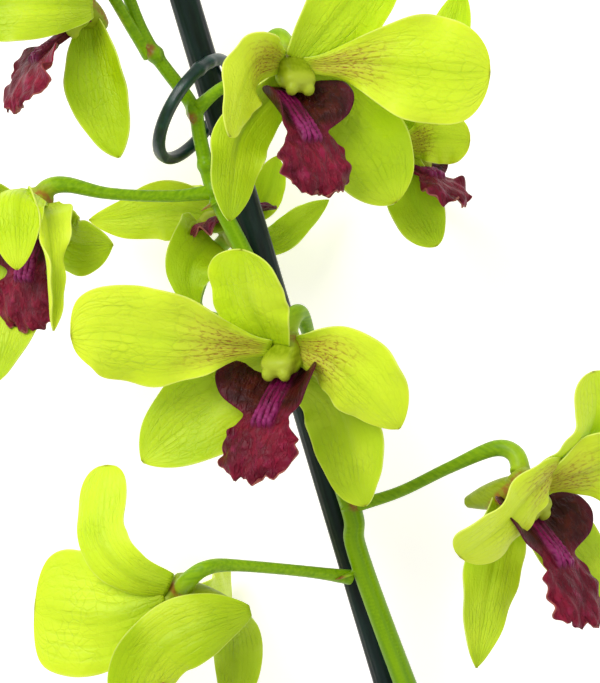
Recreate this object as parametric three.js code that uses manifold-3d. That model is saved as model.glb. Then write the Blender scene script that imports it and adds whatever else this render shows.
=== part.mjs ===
// A cut stem of dendrobium orchid: eight lime-green flowers with wine-red lips on one green
// flower stem, held to a dark stake by a green ring tie. The stem lies down, so the flowers
// face up. Millimetres: +X to the right, +Y towards the stem's tip, +Z up from the floor.
import * as THREE from "three";
import { mergeVertices } from "three/addons/utils/BufferGeometryUtils.js";
import Module from "manifold-3d";

const wasm = await Module();
wasm.setup();

// Driving dimensions
const sheet = 1.0; // thickness of a sepal, petal or lip
const gap = 0.3; // clearance between neighbouring pieces
const fineness = 0.02; // edges shorter than this are joined after a cut
const middle = { x: -6.7, y: -21.9 }; // centre of the whole stem's outline on the floor

const stake = {
  radius: 3.0,
  low: [48.3, -172.0, 3.1],
  high: [-33.6, 104.0, 43.0],
  sides: 16,
};

const stem = {
  points: [
    [57.5, -165.0, 3.6],
    [40.0, -118.0, 14.4],
    [21.5, -70.0, 24.4],
    [11.6, -42.5, 28.4],
    [10.4, -34.0, 29.6],
    [0.2, -5.8, 33.6],
    [-11.5, 18.4, 37.0],
    [-17.4, 30.4, 38.6],
    [-20.0, 40.7, 40.2],
    [-21.6, 47.2, 41.3],
    [-29.5, 58.2, 43.0],
    [-33.8, 67.8, 44.5],
    [-38.6, 84.0, 46.4],
    [-41.5, 102.0, 47.4],
    [-46.0, 120.0, 47.4],
  ],
  radii: [2.3, 2.3, 2.25, 2.35, 2.4, 2.2, 2.05, 1.95, 1.65, 1.6, 1.4, 1.3, 1.1, 0.95, 0.8],
  sides: 8,
  steps: 26,
};

// Small dry bracts on the stem: where each is rooted and the way its tip points
const bract = { length: 4.2, width: 3.0, thickness: 0.8, rooted: 1.0, sides: 6 };
const bracts = [
  { at: [9.4, -33.8, 31.0], towards: [0.9, 0.4, 0.3] },
  { at: [9.6, -47.6, 29.4], towards: [-0.9, -0.3, 0.3] },
  { at: [-17.4, 27.6, 39.6], towards: [-0.8, -0.5, 0.3] },
  { at: [-22.2, 46.0, 42.2], towards: [0.2, -0.9, 0.3] },
  { at: [-28.6, 56.6, 43.6], towards: [-0.7, 0.6, 0.3] },
];

// Closed buds on the bare tip of the stem
const buds = [
  {
    foot: [-38.2, 81.0, 45.6], elbow: [-34.0, 90.0, 47.5], tip: [-27.0, 93.0, 46.0],
    length: 17, radius: 5.0,
  },
  {
    foot: [-40.6, 95.0, 46.7], elbow: [-47.0, 102.0, 49.0], tip: [-53.5, 103.5, 47.5],
    length: 14, radius: 4.2,
  },
  {
    foot: [-42.4, 107.0, 47.0], elbow: [-37.0, 113.0, 48.5], tip: [-31.5, 114.5, 47.0],
    length: 11, radius: 3.4,
  },
  {
    foot: [-45.4, 118.0, 47.0], elbow: [-47.0, 122.0, 47.0], tip: [-48.5, 125.5, 46.5],
    length: 8, radius: 2.5,
  },
];

const tie = {
  centre: [-21.2, 46.6, 38.7],
  along: [-6.2, -9.5, 0],
  across: [-3.0, 2.1, 9.4],
  radius: 1.2,
  sides: 6,
  steps: 26,
};

// Outlines of the blades: base width, widest place, claw, fullness and bluntness of the tip
const dorsalForm = { width: 17, cup: [25, 14, 8], outline: [0.6, 0.45, 1.2, 2.2, 0.7] };
const petalForm = { width: 21, cup: [20, 5, -6], outline: [0.16, 0.62, 1.3, 2.3, 0.55] };
const lateralForm = { width: 17, cup: [20, 12, 8], outline: [0.6, 0.42, 1.0, 1.9, 0.8] };
const forms = {
  left_petal: petalForm,
  right_petal: petalForm,
  left_lateral_sepal: lateralForm,
  right_lateral_sepal: lateralForm,
  dorsal_sepal: dorsalForm,
};
const lipForm = {
  start: [0, -3.6, -3],
  length: 27.4,
  dip: [26, 32, 46, 64, 84],
  half: [3.4, 9.8, 12.8, 13.6, 13.2, 10.8, 5.4, 6.2, 7.8, 8.7, 8.8, 8.0, 6.6],
  fold: [60, 54, 52, 46, 20, 0, -10, -20, -26],
  open: [1, 1], // how far the left and the right side lobe turn up, as a share of the fold
  lobes: [1, 1], // how wide the left and the right side lobe are, as a share of the width
  lean: 0, // how far the tip drifts sideways
};
const narrowLip = {
  dip: [10, 14, 24, 40, 60],
  half: [3.0, 6.8, 8.6, 9.0, 8.6, 7.0, 4.0, 4.8, 6.0, 6.6, 6.6, 5.8, 4.6],
};
const lipCore = 2.0; // half-width of the lip's flat floor
const lipSoft = 4.0; // width over which a side lobe turns up
const lobeEnd = { from: 0.4, to: 0.5 }; // share of the lip's length where a side lobe ends

// The column, with its anther cap, and the chin behind it, in the flower's own frame
const column = { from: [0, 1.6, -3.0], to: [0, -3.0, 5.6], radii: [2.6, 2.9, 3.1, 2.9] };
const antherCap = { at: [0, -3.1, 6.0], radii: [3.1, 2.3, 2.2] };
const chin = { tip: [0, -6.0, -14.0], radius: 3.2, share: 0.52 };
const pedicelRadii = [1.3, 1.2, 1.2, 1.25, 1.5, 1.7, 1.7];
const budStalkRadii = [1.0, 0.9, 0.9];

// How finely each kind of shape is divided
const pedicelMesh = { sides: 6, steps: 9 };
const columnMesh = { sides: 8, steps: 2 };
const budMesh = { sides: 6, steps: 4 };
const eggMesh = { sides: 8, rings: 6 };
const bladeMesh = { rows: 8, columns: 4 };
const lipMesh = { rows: 12, columns: 6 };
const leastWidth = 0.04; // share of a blade's width that is left at its very tip

// Each flower: its centre, its size, the way it faces (turn about Y, then tilt) and, in
// millimetres from the centre, the lines that its blades follow from base to tip
const flowers = {
  flower_1: {
    at: [-25.3, -50.6, 34], size: 1.01, faces: [-115, -10],
    pedicel: [
      [10.4, -48.2, 27], [0, -46.4, 33], [-14, -44.8, 39], [-18.8, -45.2, 42], [-21.6, -47, 41],
      [-23.6, -49.4, 37],
    ],
    left_petal: {
      line: [[-2, -1, 3], [-13.6, -4.4, 2], [-28.4, -3.2, -4]], width: 25, front: [0, 0, -1],
      outline: [0.3, 0.68, 1, 4.4, 0.5],
    },
    right_petal: {
      line: [[1, -1.4, -2], [8, -4, -16], [10.6, -4.4, -33.5]], width: 15, front: [1, 0, 0.2],
    },
    left_lateral_sepal: {
      line: [[15.2, -3.2, 6], [7, -5.4, 8.4], [-1.6, -9.6, 8], [-7, -17.4, 5], [-8, -27, 0]],
      width: 14.6, front: [0, 0, -1], outline: [0.16, 0.4, 0.8, 2.6, 0.6],
    },
    right_lateral_sepal: {
      line: [[11, -3.6, 3.5], [12.6, -12, -5], [11, -28, -12]], width: 10, front: [0, 0, -1],
    },
    dorsal_sepal: {
      line: [[-1, 1.4, 3.5], [-9, 4.6, 6.5], [-14.6, 12, 5], [-13.6, 25.4, 0]], width: 10.8,
      front: [0, 0, -1], roll: [10, 20, 25, 25], outline: [0.5, 0.5, 1, 6, 0.42],
    },
    lip: {
      ...narrowLip, faces: [-96, -66], start: [0, -2.5, -4], dip: [0, 4, 8, 16, 30], lobes: [0.5, 0.5],
    },
  },
  flower_2: {
    at: [44.8, -29, 46], size: 0.99, faces: [48, -22], chin: [0, -9, -13],
    pedicel: [
      [9.2, -34, 29], [19.6, -30.6, 33.5], [29.8, -25.4, 38], [38.6, -21.4, 41.5], [42.6, -22.2, 43],
      [43.8, -25.4, 44],
    ],
    left_petal: {
      line: [[3, 1.5, 1], [4.5, 3.4, 6], [0, -0.6, 11], [-6, -7.4, 12.5], [-14, -13, 11]], width: 15.6,
      outline: [0.4, 0.8, 2.2, 2.8, 0.5],
    },
    right_petal: { line: [[1, 0, 1], [14, 4, 3], [30, 8, 0]], width: 20 },
    left_lateral_sepal: {
      line: [[-3.4, -2.5, -4], [-7.2, -19, -1], [-10, -36, 0]], width: 12.4, front: [0.4, 0, 1],
    },
    right_lateral_sepal: { line: [[0, -2.5, -4], [13, -17, -10], [24, -28, -14]], width: 14 },
    dorsal_sepal: {
      line: [[1, 2, 0], [9, 6.5, 3], [13.2, 13.6, 5], [12.6, 23.4, 7]], width: 15,
      outline: [0.5, 0.6, 1.2, 4.4, 0.5],
    },
    lip: { faces: [46, -26], length: 31, dip: [14, 18, 30, 46, 66], open: [0.55, 0.7], lean: 6 },
  },
  flower_3: {
    at: [-2.9, -2, 60], size: 0.97, faces: [-26, -12],
    pedicel: [[3.6, -16.6, 31], [3.4, -6, 40], [1, 3.6, 51], [-0.6, 5.6, 55], [-2.2, 2.6, 57]],
    left_petal: {
      line: [[-3, 0.8, 1], [-22, 2.4, 9], [-35, 3.9, 12.5], [-41.8, 3.2, 13]], width: 20.6,
      outline: [0.18, 0.62, 1.9, 3, 0.5],
    },
    right_petal: {
      line: [[2, 1.2, 0], [10, -2.6, 4.5], [16.6, -8.6, 5], [22.8, -15.2, 3]], width: 16.6,
      skew: [0, -0.22, -0.2, -0.1], outline: [0.3, 0.55, 1.2, 2, 0.75],
    },
    left_lateral_sepal: {
      line: [[-0.5, -2, -2.5], [-17, -12.5, -3], [-28.6, -22, -2]], width: 19,
      outline: [0.6, 0.5, 1, 2.1, 0.72],
    },
    right_lateral_sepal: {
      line: [[0.5, -2, -2.5], [9, -8.6, -4], [12.6, -16.8, -5.5], [14.2, -26, -6.5], [16.2, -31.2, -7]],
      width: 15.6, outline: [0.5, 0.5, 1, 2.4, 0.65],
    },
    dorsal_sepal: {
      line: [[-3, 1.6, 0], [-6.4, 9.4, 6], [-8.4, 20, 14]], width: 16.4, cup: [25, 14, 10],
      outline: [0.6, 0.5, 1, 3.4, 0.55],
    },
    lip: { faces: [-28, -10], open: [0.7, 0.85], lobes: [1, 0.8], lean: -2.4 },
  },
  flower_4: {
    at: [-14.1, 24.7, 20], size: 1.03, faces: [-100, 30], chin: [0, -4, -8],
    pedicel: [[-6.6, 6.4, 34.6], [-15.4, 4.6, 25], [-21, 6.8, 18], [-20.8, 11.6, 15], [-17.4, 19, 16]],
    left_petal: {
      line: [[-2, 1, -2], [-13, 2.4, -3], [-22, 0.8, -4], [-29, 0.6, -5]], width: 12, front: [0, 0, 1],
      outline: [0.5, 0.42, 1, 1.6, 0.8],
    },
    right_petal: { line: [[1, 1, -1], [-5, 3, -8], [-13, 4.6, -18.6]], width: 9, front: [0, 0, 1] },
    left_lateral_sepal: {
      line: [[-3.6, -4, 2.5], [-7.4, -8, 7], [-8.2, -13, 8], [-6.6, -17.4, 6.5]], width: 16.6,
      front: [0, 0, 1], outline: [0.9, 0.12, 1, 1, 0.8],
    },
    right_lateral_sepal: {
      line: [[3, -4, -2], [9, -3.4, -4], [13.7, 0.6, -7], [19.6, 4.9, -10]], width: 6.4,
      front: [0, 0, 1],
    },
    dorsal_sepal: { line: [[3, 1, -2], [6.6, 4.6, -4], [9, 13.6, -6]], width: 6.6, front: [0, 0, 1] },
    lip: {
      ...narrowLip, faces: [-82, -12], start: [2.6, 1, -9], length: 19, dip: [-6, -2, 4, 10, 20],
      lobes: [0.7, 0.5],
    },
  },
  flower_5: {
    at: [-52.3, 26.4, 48], size: 0.99, faces: [-30, -25], chin: [-1, -9, -9],
    pedicel: [
      [-17.4, 30, 38.4], [-26, 29, 41.5], [-38, 29.4, 44.5], [-46, 31, 46.5], [-49.8, 30.4, 47],
      [-51.8, 28, 47],
    ],
    left_petal: { line: [[-3, 1, 1], [-18, 4, 4], [-36, 2, 4]], width: 20 },
    right_petal: {
      line: [[1.6, 0.6, 3], [3.2, -2.4, 10], [4.5, -13, 14], [4.8, -24.6, 13.6]], width: 10.6,
      front: [0.2, 0, 1], roll: [20, 35, 40, 40], cup: [50, 60, 60], outline: [0.7, 0.16, 1, 1, 0.6],
    },
    left_lateral_sepal: { line: [[0, -2, -3], [-4, -20, -2.5], [-8, -35, 0]], width: 15 },
    right_lateral_sepal: { line: [[2, -1.6, -3], [8, -7, -2], [15.6, -7.4, 0]], width: 14 },
    dorsal_sepal: {
      line: [[0.5, 1.6, 2], [-1.6, 2.4, 9], [-2.6, -1, 15], [-2, -12.8, 16.5]], width: 11,
      front: [0, -1, -1],
    },
    lip: { faces: [-38, -25], length: 24.5, open: [0.8, 0.9], lobes: [1, 0.7] },
  },
  flower_6: {
    at: [-1.5, 52.7, 62], size: 0.96, faces: [24, -12],
    pedicel: [
      [-20.6, 46.4, 41], [-16.8, 49.4, 45], [-11.8, 52.4, 49.5], [-7.2, 57.2, 55], [-4.2, 59.2, 58],
      [-2.4, 56.4, 60],
    ],
    left_petal: {
      line: [[-2, 1.4, 1], [-7.2, 0.4, 9], [-10.2, -6, 15], [-12.2, -15, 18]], width: 15,
      front: [0.3, 0.2, 1], roll: [40, 50, 50], outline: [0.3, 0.5, 1.2, 2.4, 0.6],
    },
    right_petal: {
      line: [[2.5, 0.5, 0], [15.5, 0.6, 3.5], [30.5, -1.2, 4.5], [39.6, -1.4, 3]], width: 21.6,
      outline: [0.16, 0.68, 2.1, 2.8, 0.5],
    },
    left_lateral_sepal: {
      line: [[-0.5, -2, -2.5], [-9.4, -12, -1], [-11.6, -20, 1], [-12.6, -30.8, 2]], width: 12.6,
      outline: [0.5, 0.5, 1, 1.9, 0.7],
    },
    right_lateral_sepal: {
      line: [[0.5, -2, -2.5], [13.2, -14, -4], [21, -26.8, -6]], width: 19.6,
      outline: [0.6, 0.5, 1, 2.4, 0.6],
    },
    dorsal_sepal: {
      line: [[1.4, 1.2, 0], [12, 13.6, 4], [19.6, 27, 6]], width: 17,
      outline: [0.45, 0.5, 1, 2.2, 0.6],
    },
    lip: { faces: [36, -8], start: [-2.5, -4.4, -2], open: [1.4, 0.7], lobes: [0.55, 1], lean: 1.5 },
  },
  flower_7: {
    at: [21.1, 38.6, 36], size: 1, faces: [95, -12],
    pedicel: [
      [-18.8, 36, 38], [-18.6, 35.8, 33], [-17.4, 36, 28], [-13, 41, 26.5], [-7, 47, 28.5],
      [3, 47.5, 32], [13, 44, 35.5], [18.4, 40.4, 36],
    ],
    left_petal: { line: [[-2, 1, 1], [-6, 8, 6], [-8, 16, 10]], width: 16, front: [0, 0, 1] },
    right_petal: {
      line: [[1, 1, 3], [6, 1.8, 6], [12.8, 1.4, 7]], width: 10, front: [0, 0, 1],
      outline: [0.5, 0.55, 1, 3, 0.5],
    },
    left_lateral_sepal: {
      line: [[0.5, -1.5, 3], [1.4, -10.4, 5], [6.2, -19.6, 5]], width: 10.4, front: [0, 0, 1],
      outline: [0.4, 0.5, 1, 2.6, 0.6],
    },
    right_lateral_sepal: {
      line: [[0.5, -0.5, -3], [5, -6, -18], [7, -9, -35.8]], width: 13, front: [1, 0, 0],
    },
    dorsal_sepal: { line: [[0, 1, 0], [6, 14, 2], [11.5, 32, 3]], width: 10, front: [0, 0, 1] },
    lip: {
      ...narrowLip, faces: [46, -10], start: [0, -3.4, -2], length: 19.5, dip: [0, 4, 12, 26, 44],
    },
  },
  flower_8: {
    at: [-43.9, 65.8, 52], size: 0.98, faces: [-45, -30], chin: [0, -7, -5],
    pedicel: [
      [-29.8, 56.8, 42.4], [-33.4, 62.2, 45], [-36.6, 67.6, 48], [-39.6, 72.2, 50.5],
      [-42.4, 73.4, 52], [-44.2, 70.6, 52.6],
    ],
    left_petal: { line: [[-3, 3, 0], [-16, 11, -1], [-31, 16, -5]], width: 20 },
    right_petal: { line: [[1, 3, 2], [3, 11, 9], [2, 20, 15]], width: 18, front: [-1, 0, 0.4] },
    left_lateral_sepal: {
      line: [[3.4, -0.6, 4], [-5, -1, 11], [-14, -1.6, 12], [-24, -4, 9]], width: 14, front: [0, 0, 1],
      outline: [0.34, 0.55, 0.9, 2.4, 0.6],
    },
    right_lateral_sepal: {
      line: [[2.5, -3, -2], [4.8, -17, 0], [8.6, -30.4, 0]], width: 14, front: [-0.2, 0, 1],
      cup: [50, 50, 40], outline: [0.4, 0.5, 1, 1.9, 0.75],
    },
    dorsal_sepal: { line: [[-1, 4, 3], [-7, 14, 5], [-13, 26, 6]], width: 15 },
    lip: {
      faces: [-62, -20], length: 26, dip: [10, 14, 24, 40, 60], lobes: [0.5, 0.3], lean: -3,
      half: [3, 6.8, 8.6, 9.4, 9.4, 9, 8.4, 8.8, 9.6, 10, 10, 9, 7.4],
    },
  },
};

// Materials
function finish(colour, roughness, metalness = 0) {
  return () => new THREE.MeshStandardMaterial({ color: colour, roughness, metalness });
}
const bladeFinish = finish("#b9dd2c", 0.5);
const lipFinish = finish("#6b1230", 0.45);
const columnFinish = finish("#a9cf52", 0.45);
const stemFinish = finish("#6f9d1e", 0.35);
const stakeFinish = finish("#12292b", 0.4);
const tieFinish = finish("#1f4a33", 0.35);

// Curves and frames
const radians = THREE.MathUtils.degToRad;

function vectors(points) {
  return points.map((point) => new THREE.Vector3(...point));
}

function curveThrough(points) {
  return new THREE.CatmullRomCurve3(vectors(points), false, "catmullrom", 0.5);
}

// A smooth value at t, from 0 to 1, through equally spaced values
function along(values, t) {
  const last = values.length - 1;
  if (last === 0) return values[0];
  const place = THREE.MathUtils.clamp(t, 0, 1) * last;
  const i = Math.min(Math.floor(place), last - 1);
  const f = place - i;
  const [b, c] = [values[i], values[i + 1]];
  const a = i > 0 ? values[i - 1] : 2 * b - c;
  const d = i + 2 <= last ? values[i + 2] : 2 * c - b;
  return b + 0.5 * f * (c - a + f * (2 * a - 5 * b + 4 * c - d + f * (3 * (b - c) + d - a)));
}

function turnOf([yaw, pitch]) {
  return new THREE.Quaternion().setFromEuler(new THREE.Euler(radians(-pitch), radians(yaw), 0, "YXZ"));
}

// Moves every vertex of a plain geometry to the place that a function gives for it
function bent(geometry, place) {
  const position = geometry.attributes.position;
  const vertex = new THREE.Vector3();
  for (let i = 0; i < position.count; i += 1) {
    vertex.fromBufferAttribute(position, i);
    const moved = place(vertex);
    position.setXYZ(i, moved.x, moved.y, moved.z);
  }
  return geometry;
}

// A closed geometry as a solid for cutting and joining, and back
function solidOf(geometry) {
  const bare = geometry.clone();
  bare.deleteAttribute("normal");
  bare.deleteAttribute("uv");
  const merged = mergeVertices(bare, 1e-4);
  return new wasm.Manifold(
    new wasm.Mesh({
      numProp: 3,
      vertProperties: new Float32Array(merged.attributes.position.array),
      triVerts: new Uint32Array(merged.index.array),
    }),
  );
}

function geometryOf(solid) {
  const mesh = solid.getMesh();
  const geometry = new THREE.BufferGeometry();
  geometry.setAttribute("position", new THREE.BufferAttribute(new Float32Array(mesh.vertProperties), 3));
  geometry.setIndex(new THREE.BufferAttribute(new Uint32Array(mesh.triVerts), 1));
  geometry.computeVertexNormals();
  return geometry;
}

function largest(solid) {
  const bodies = solid.decompose();
  return bodies.reduce((best, body) => (body.volume() > best.volume() ? body : best));
}

// A blade: a box of 2 by 1 by 2 units bent along its line, cupped across and cut to its outline
function bladeSolid(form, facing, extra = 0) {
  const { rows, columns } = bladeMesh;
  const curve = curveThrough(form.line);
  const reference = form.front ? new THREE.Vector3(...form.front) : facing;
  const [base, widest, claw, fullness, bluntness] = form.outline;
  const widthAt = (t) => {
    const rise = base + (1 - base) * Math.sin(Math.min(t / widest, 1) * (Math.PI / 2)) ** claw;
    const fall = Math.max(1 - Math.max((t - widest) / (1 - widest), 0) ** fullness, 0) ** bluntness;
    return Math.max(Math.min(rise, t < widest ? 1 : fall), leastWidth) * (form.width / 2);
  };
  const box = new THREE.BoxGeometry(2, 1, 2, columns, rows, 1).translate(0, 0.5, 0);
  return solidOf(
    bent(box, ({ x: s, y: t, z: face }) => {
      const tangent = curve.getTangentAt(t);
      const normal = reference.clone().addScaledVector(tangent, -reference.dot(tangent)).normalize();
      const roll = radians(along(form.roll ?? [0], t));
      normal.applyAxisAngle(tangent, -roll);
      const across = tangent.clone().cross(normal);
      const bend = radians(along(form.cup, t)) * Math.abs(s) || 1e-6;
      const half = widthAt(t) * (1 + along(form.skew ?? [0], t) * Math.sign(s));
      const reach = half * Math.abs(s);
      const turn = bend * Math.sign(s);
      const out = ((reach * Math.sin(bend)) / bend + extra * Math.abs(s)) * Math.sign(s);
      const up = (reach * (1 - Math.cos(bend))) / bend;
      const thick = face * (sheet / 2 + extra);
      const end = extra * (t === 0 ? -1 : t === 1 ? 1 : 0);
      return curve
        .getPointAt(t)
        .addScaledVector(across, out - thick * Math.sin(turn))
        .addScaledVector(normal, up + thick * Math.cos(turn))
        .addScaledVector(tangent, end);
    }),
  );
}

// The lip: a sheet that dips forwards, with its side lobes turned up beside the column
function lipPoint(form, t, s) {
  const steps = 24;
  const point = new THREE.Vector3(...form.start);
  for (let i = 0; i < steps; i += 1) {
    const dip = radians(along(form.dip, (t * (i + 0.5)) / steps));
    point.y -= (Math.sin(dip) * form.length * t) / steps;
    point.z += (Math.cos(dip) * form.length * t) / steps;
  }
  const dip = radians(along(form.dip, t));
  const side = s < 0 ? 0 : 1;
  const flat = radians(along(form.fold, t));
  const fold = flat > 0 ? flat * form.open[side] : flat;
  const past = THREE.MathUtils.smoothstep(t, lobeEnd.from, lobeEnd.to);
  const lobe = THREE.MathUtils.lerp(form.lobes[side], 1, past);
  const corner = Math.sqrt(Math.max(1 - t ** 20, 0.02));
  const reach = along(form.half, t) * corner * lobe * Math.abs(s);
  point.x += form.lean * t ** 2;
  for (let i = 0; i < steps; i += 1) {
    const x = (reach * (i + 0.5)) / steps;
    const q = THREE.MathUtils.clamp((x - lipCore) / lipSoft, 0, 1);
    const turn = fold * q * q * (3 - 2 * q);
    point.x += (Math.sign(s) * Math.cos(turn) * reach) / steps;
    point.y += (Math.cos(dip) * Math.sin(turn) * reach) / steps;
    point.z += (Math.sin(dip) * Math.sin(turn) * reach) / steps;
  }
  return point;
}

function lipSolid(form, extra = 0) {
  const { rows, columns } = lipMesh;
  const step = 1e-3;
  const box = new THREE.BoxGeometry(2, 1, 2, columns, rows, 1).translate(0, 0.5, 0);
  const turn = turnOf(form.faces);
  return solidOf(
    bent(box, ({ x: s, y: t, z: face }) => {
      const down = lipPoint(form, t + step, s).sub(lipPoint(form, t - step, s)).normalize();
      const wide = lipPoint(form, t, s + step).sub(lipPoint(form, t, s - step)).normalize();
      const normal = wide.clone().cross(down).normalize();
      return lipPoint(form, t, s)
        .addScaledVector(normal, face * (sheet / 2 + extra))
        .addScaledVector(wide, extra * s)
        .addScaledVector(down, extra * (t === 0 ? -1 : t === 1 ? 1 : 0))
        .applyQuaternion(turn);
    }),
  );
}

// A round rod along a curve, with a radius that changes along it
function rodSolid(points, radii, { sides, steps }, extra = 0) {
  const curve = curveThrough(points);
  const frames = curve.computeFrenetFrames(steps, false);
  const rod = new THREE.CylinderGeometry(1, 1, 1, sides, steps).translate(0, 0.5, 0);
  return solidOf(
    bent(rod, ({ x, y: t, z }) => {
      const i = Math.round(t * steps);
      const radius = along(radii, t) + extra;
      return curve
        .getPointAt(t)
        .addScaledVector(frames.normals[i], x * radius)
        .addScaledVector(frames.binormals[i], -z * radius)
        .addScaledVector(frames.tangents[i], extra * (t === 0 ? -1 : t === 1 ? 1 : 0));
    }),
  );
}

function eggSolid(at, radii, turn, extra = 0) {
  const egg = new THREE.SphereGeometry(1, eggMesh.sides, eggMesh.rings);
  egg.scale(radii[0] + extra, radii[1] + extra, radii[2] + extra);
  egg.applyQuaternion(turn);
  egg.translate(...at);
  return solidOf(egg);
}

// Stem, stake and tie
function stemSolid(extra = 0) {
  let solid = rodSolid(stem.points, stem.radii, stem, extra);
  for (const { at, towards } of bracts) {
    const scale = new THREE.ConeGeometry(bract.width / 2 + extra, bract.length, bract.sides);
    scale.scale(1, 1, bract.thickness / bract.width);
    scale.translate(0, bract.length / 2 - bract.rooted, 0);
    const way = new THREE.Vector3(...towards).normalize();
    scale.applyQuaternion(new THREE.Quaternion().setFromUnitVectors(new THREE.Vector3(0, 1, 0), way));
    scale.translate(...at);
    solid = solid.add(solidOf(scale));
  }
  for (const { foot, elbow, tip, length, radius } of buds) {
    const way = new THREE.Vector3(...tip).sub(new THREE.Vector3(...elbow)).normalize();
    const turn = new THREE.Quaternion().setFromUnitVectors(new THREE.Vector3(0, 0, 1), way);
    solid = solid.add(rodSolid([foot, elbow, tip], budStalkRadii, budMesh, extra));
    solid = solid.add(eggSolid(tip, [radius, radius, length / 2], turn, extra));
  }
  return solid;
}

function stakeSolid(extra = 0) {
  const { low, high, radius, sides } = stake;
  return rodSolid([low, high], [radius], { sides, steps: 1 }, extra);
}

function tieSolid(extra = 0) {
  const ring = new THREE.TorusGeometry(1, 1, tie.sides, tie.steps);
  const centre = new THREE.Vector3(...tie.centre);
  const long = new THREE.Vector3(...tie.along);
  const wide = new THREE.Vector3(...tie.across);
  const axis = long.clone().cross(wide).normalize();
  let index = 0;
  bent(ring, () => {
    const around = ((index % (tie.steps + 1)) / tie.steps) * Math.PI * 2;
    const tube = (Math.floor(index / (tie.steps + 1)) / tie.sides) * Math.PI * 2;
    index += 1;
    const line = long.clone().multiplyScalar(Math.cos(around)).addScaledVector(wide, Math.sin(around));
    const way = long.clone().multiplyScalar(-Math.sin(around)).addScaledVector(wide, Math.cos(around));
    const outward = way.normalize().clone().cross(axis);
    return centre
      .clone()
      .add(line)
      .addScaledVector(outward, (tie.radius + extra) * Math.cos(tube))
      .addScaledVector(axis, (tie.radius + extra) * Math.sin(tube));
  });
  return solidOf(ring);
}

// The flower's stalk, chin and column grow as one piece
function columnSolid(flower, extra = 0) {
  const turn = turnOf(flower.faces);
  const local = (point) => new THREE.Vector3(...point).multiplyScalar(flower.size).applyQuaternion(turn);
  const place = (point) => local(point).add(new THREE.Vector3(...flower.at));
  const stalk = [...flower.pedicel, place(column.from).toArray()];
  const tip = new THREE.Vector3(...(flower.chin ?? chin.tip));
  const chinCentre = place(tip.clone().multiplyScalar(chin.share).toArray()).toArray();
  const chinRadii = [chin.radius, chin.radius, tip.length() * chin.share];
  const chinWay = tip.clone().normalize();
  const chinTurn = new THREE.Quaternion().setFromUnitVectors(new THREE.Vector3(0, 0, 1), chinWay);
  const post = [place(column.from).toArray(), place(column.to).toArray()];
  return rodSolid(stalk, pedicelRadii, pedicelMesh, extra)
    .add(rodSolid(post, column.radii, columnMesh, extra))
    .add(eggSolid(place(antherCap.at).toArray(), antherCap.radii, turn, extra))
    .add(eggSolid(chinCentre, chinRadii, turn.clone().multiply(chinTurn), extra));
}

// Each piece is cut clear of the ones placed before it, so that neighbours never overlap
const object = new THREE.Group();
const placed = [];

function addPiece(parent, name, makeSolid, material) {
  let solid = makeSolid();
  for (const other of placed) {
    solid = solid.subtract(other);
  }
  placed.push(makeSolid(gap));
  const offset = parent.getWorldPosition(new THREE.Vector3());
  const geometry = geometryOf(largest(solid).simplify(fineness)).translate(-offset.x, -offset.y, -offset.z);
  const mesh = new THREE.Mesh(geometry, material());
  mesh.name = name;
  parent.add(mesh);
}

addPiece(object, "stake", stakeSolid, stakeFinish);
addPiece(object, "rachis", stemSolid, stemFinish);
addPiece(object, "tie_ring", tieSolid, tieFinish);

for (const [name, flower] of Object.entries(flowers)) {
  const group = new THREE.Group();
  group.position.set(...flower.at);
  object.add(group);
  const facing = new THREE.Vector3(0, 0, 1).applyQuaternion(turnOf(flower.faces));
  const toFlower = (solid) => solid.scale(flower.size).translate(...flower.at);
  const lip = { ...lipForm, ...flower.lip };
  addPiece(group, `${name}_column`, (extra) => columnSolid(flower, extra), columnFinish);
  addPiece(group, `${name}_lip`, (extra) => toFlower(lipSolid(lip, extra)), lipFinish);
  for (const [blade, form] of Object.entries(forms)) {
    const shape = { ...form, ...flower[blade] };
    addPiece(group, `${name}_${blade}`, (extra) => toFlower(bladeSolid(shape, facing, extra)), bladeFinish);
  }
}
object.position.set(-middle.x, -middle.y, 0);

export default object;
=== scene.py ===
"""A cut stem of dendrobium orchid: eight lime-green flowers with wine-red lips on a green flower
stem, held to a dark stake by a ring tie. It lies on a pale floor and the camera looks down.

Shapes are built in millimetres, in the photograph's frame, and moved into the part's frame in metres.
"""
import math
from functools import reduce

import bpy
import numpy as np
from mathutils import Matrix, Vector
from numpy.linalg import norm


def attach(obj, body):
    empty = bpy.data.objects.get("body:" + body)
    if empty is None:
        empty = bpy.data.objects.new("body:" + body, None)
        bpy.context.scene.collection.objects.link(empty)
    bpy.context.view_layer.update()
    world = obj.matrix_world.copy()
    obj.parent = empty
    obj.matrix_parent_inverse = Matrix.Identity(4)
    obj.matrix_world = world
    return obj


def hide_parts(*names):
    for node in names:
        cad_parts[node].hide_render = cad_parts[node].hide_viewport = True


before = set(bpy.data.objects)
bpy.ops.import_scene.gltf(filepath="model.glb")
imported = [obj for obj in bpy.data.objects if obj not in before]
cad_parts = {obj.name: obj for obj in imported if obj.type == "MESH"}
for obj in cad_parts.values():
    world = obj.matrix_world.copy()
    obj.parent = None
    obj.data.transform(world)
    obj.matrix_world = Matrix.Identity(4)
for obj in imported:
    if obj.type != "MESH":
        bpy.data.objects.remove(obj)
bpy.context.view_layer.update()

# Driving dimensions, in millimetres
MIDDLE = np.array([-6.7, -21.9, 0.0])  # centre of the stem's outline in the photograph's frame
METRE = 0.001
SHEET = 0.8  # thickness of a blade at its middle
EDGE = 0.28  # thickness of a blade at its margin
LEAST_WIDTH = 0.04  # share of a blade's width that is left at its very tip
LIP_CORE = 2.0  # half-width of the lip's flat floor
LIP_SOFT = 4.0  # width over which a side lobe turns up
LIP_REACH = 13.0  # distance from the middle that counts as 1 in the lip's patterns
LIP_BAND = dict(half=2.3, height=0.7)  # the raised band down the lip's floor
LIP_RIDGES = [-1.8, -0.65, 0.6, 1.75]  # places of the fine ridges on the band
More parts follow.
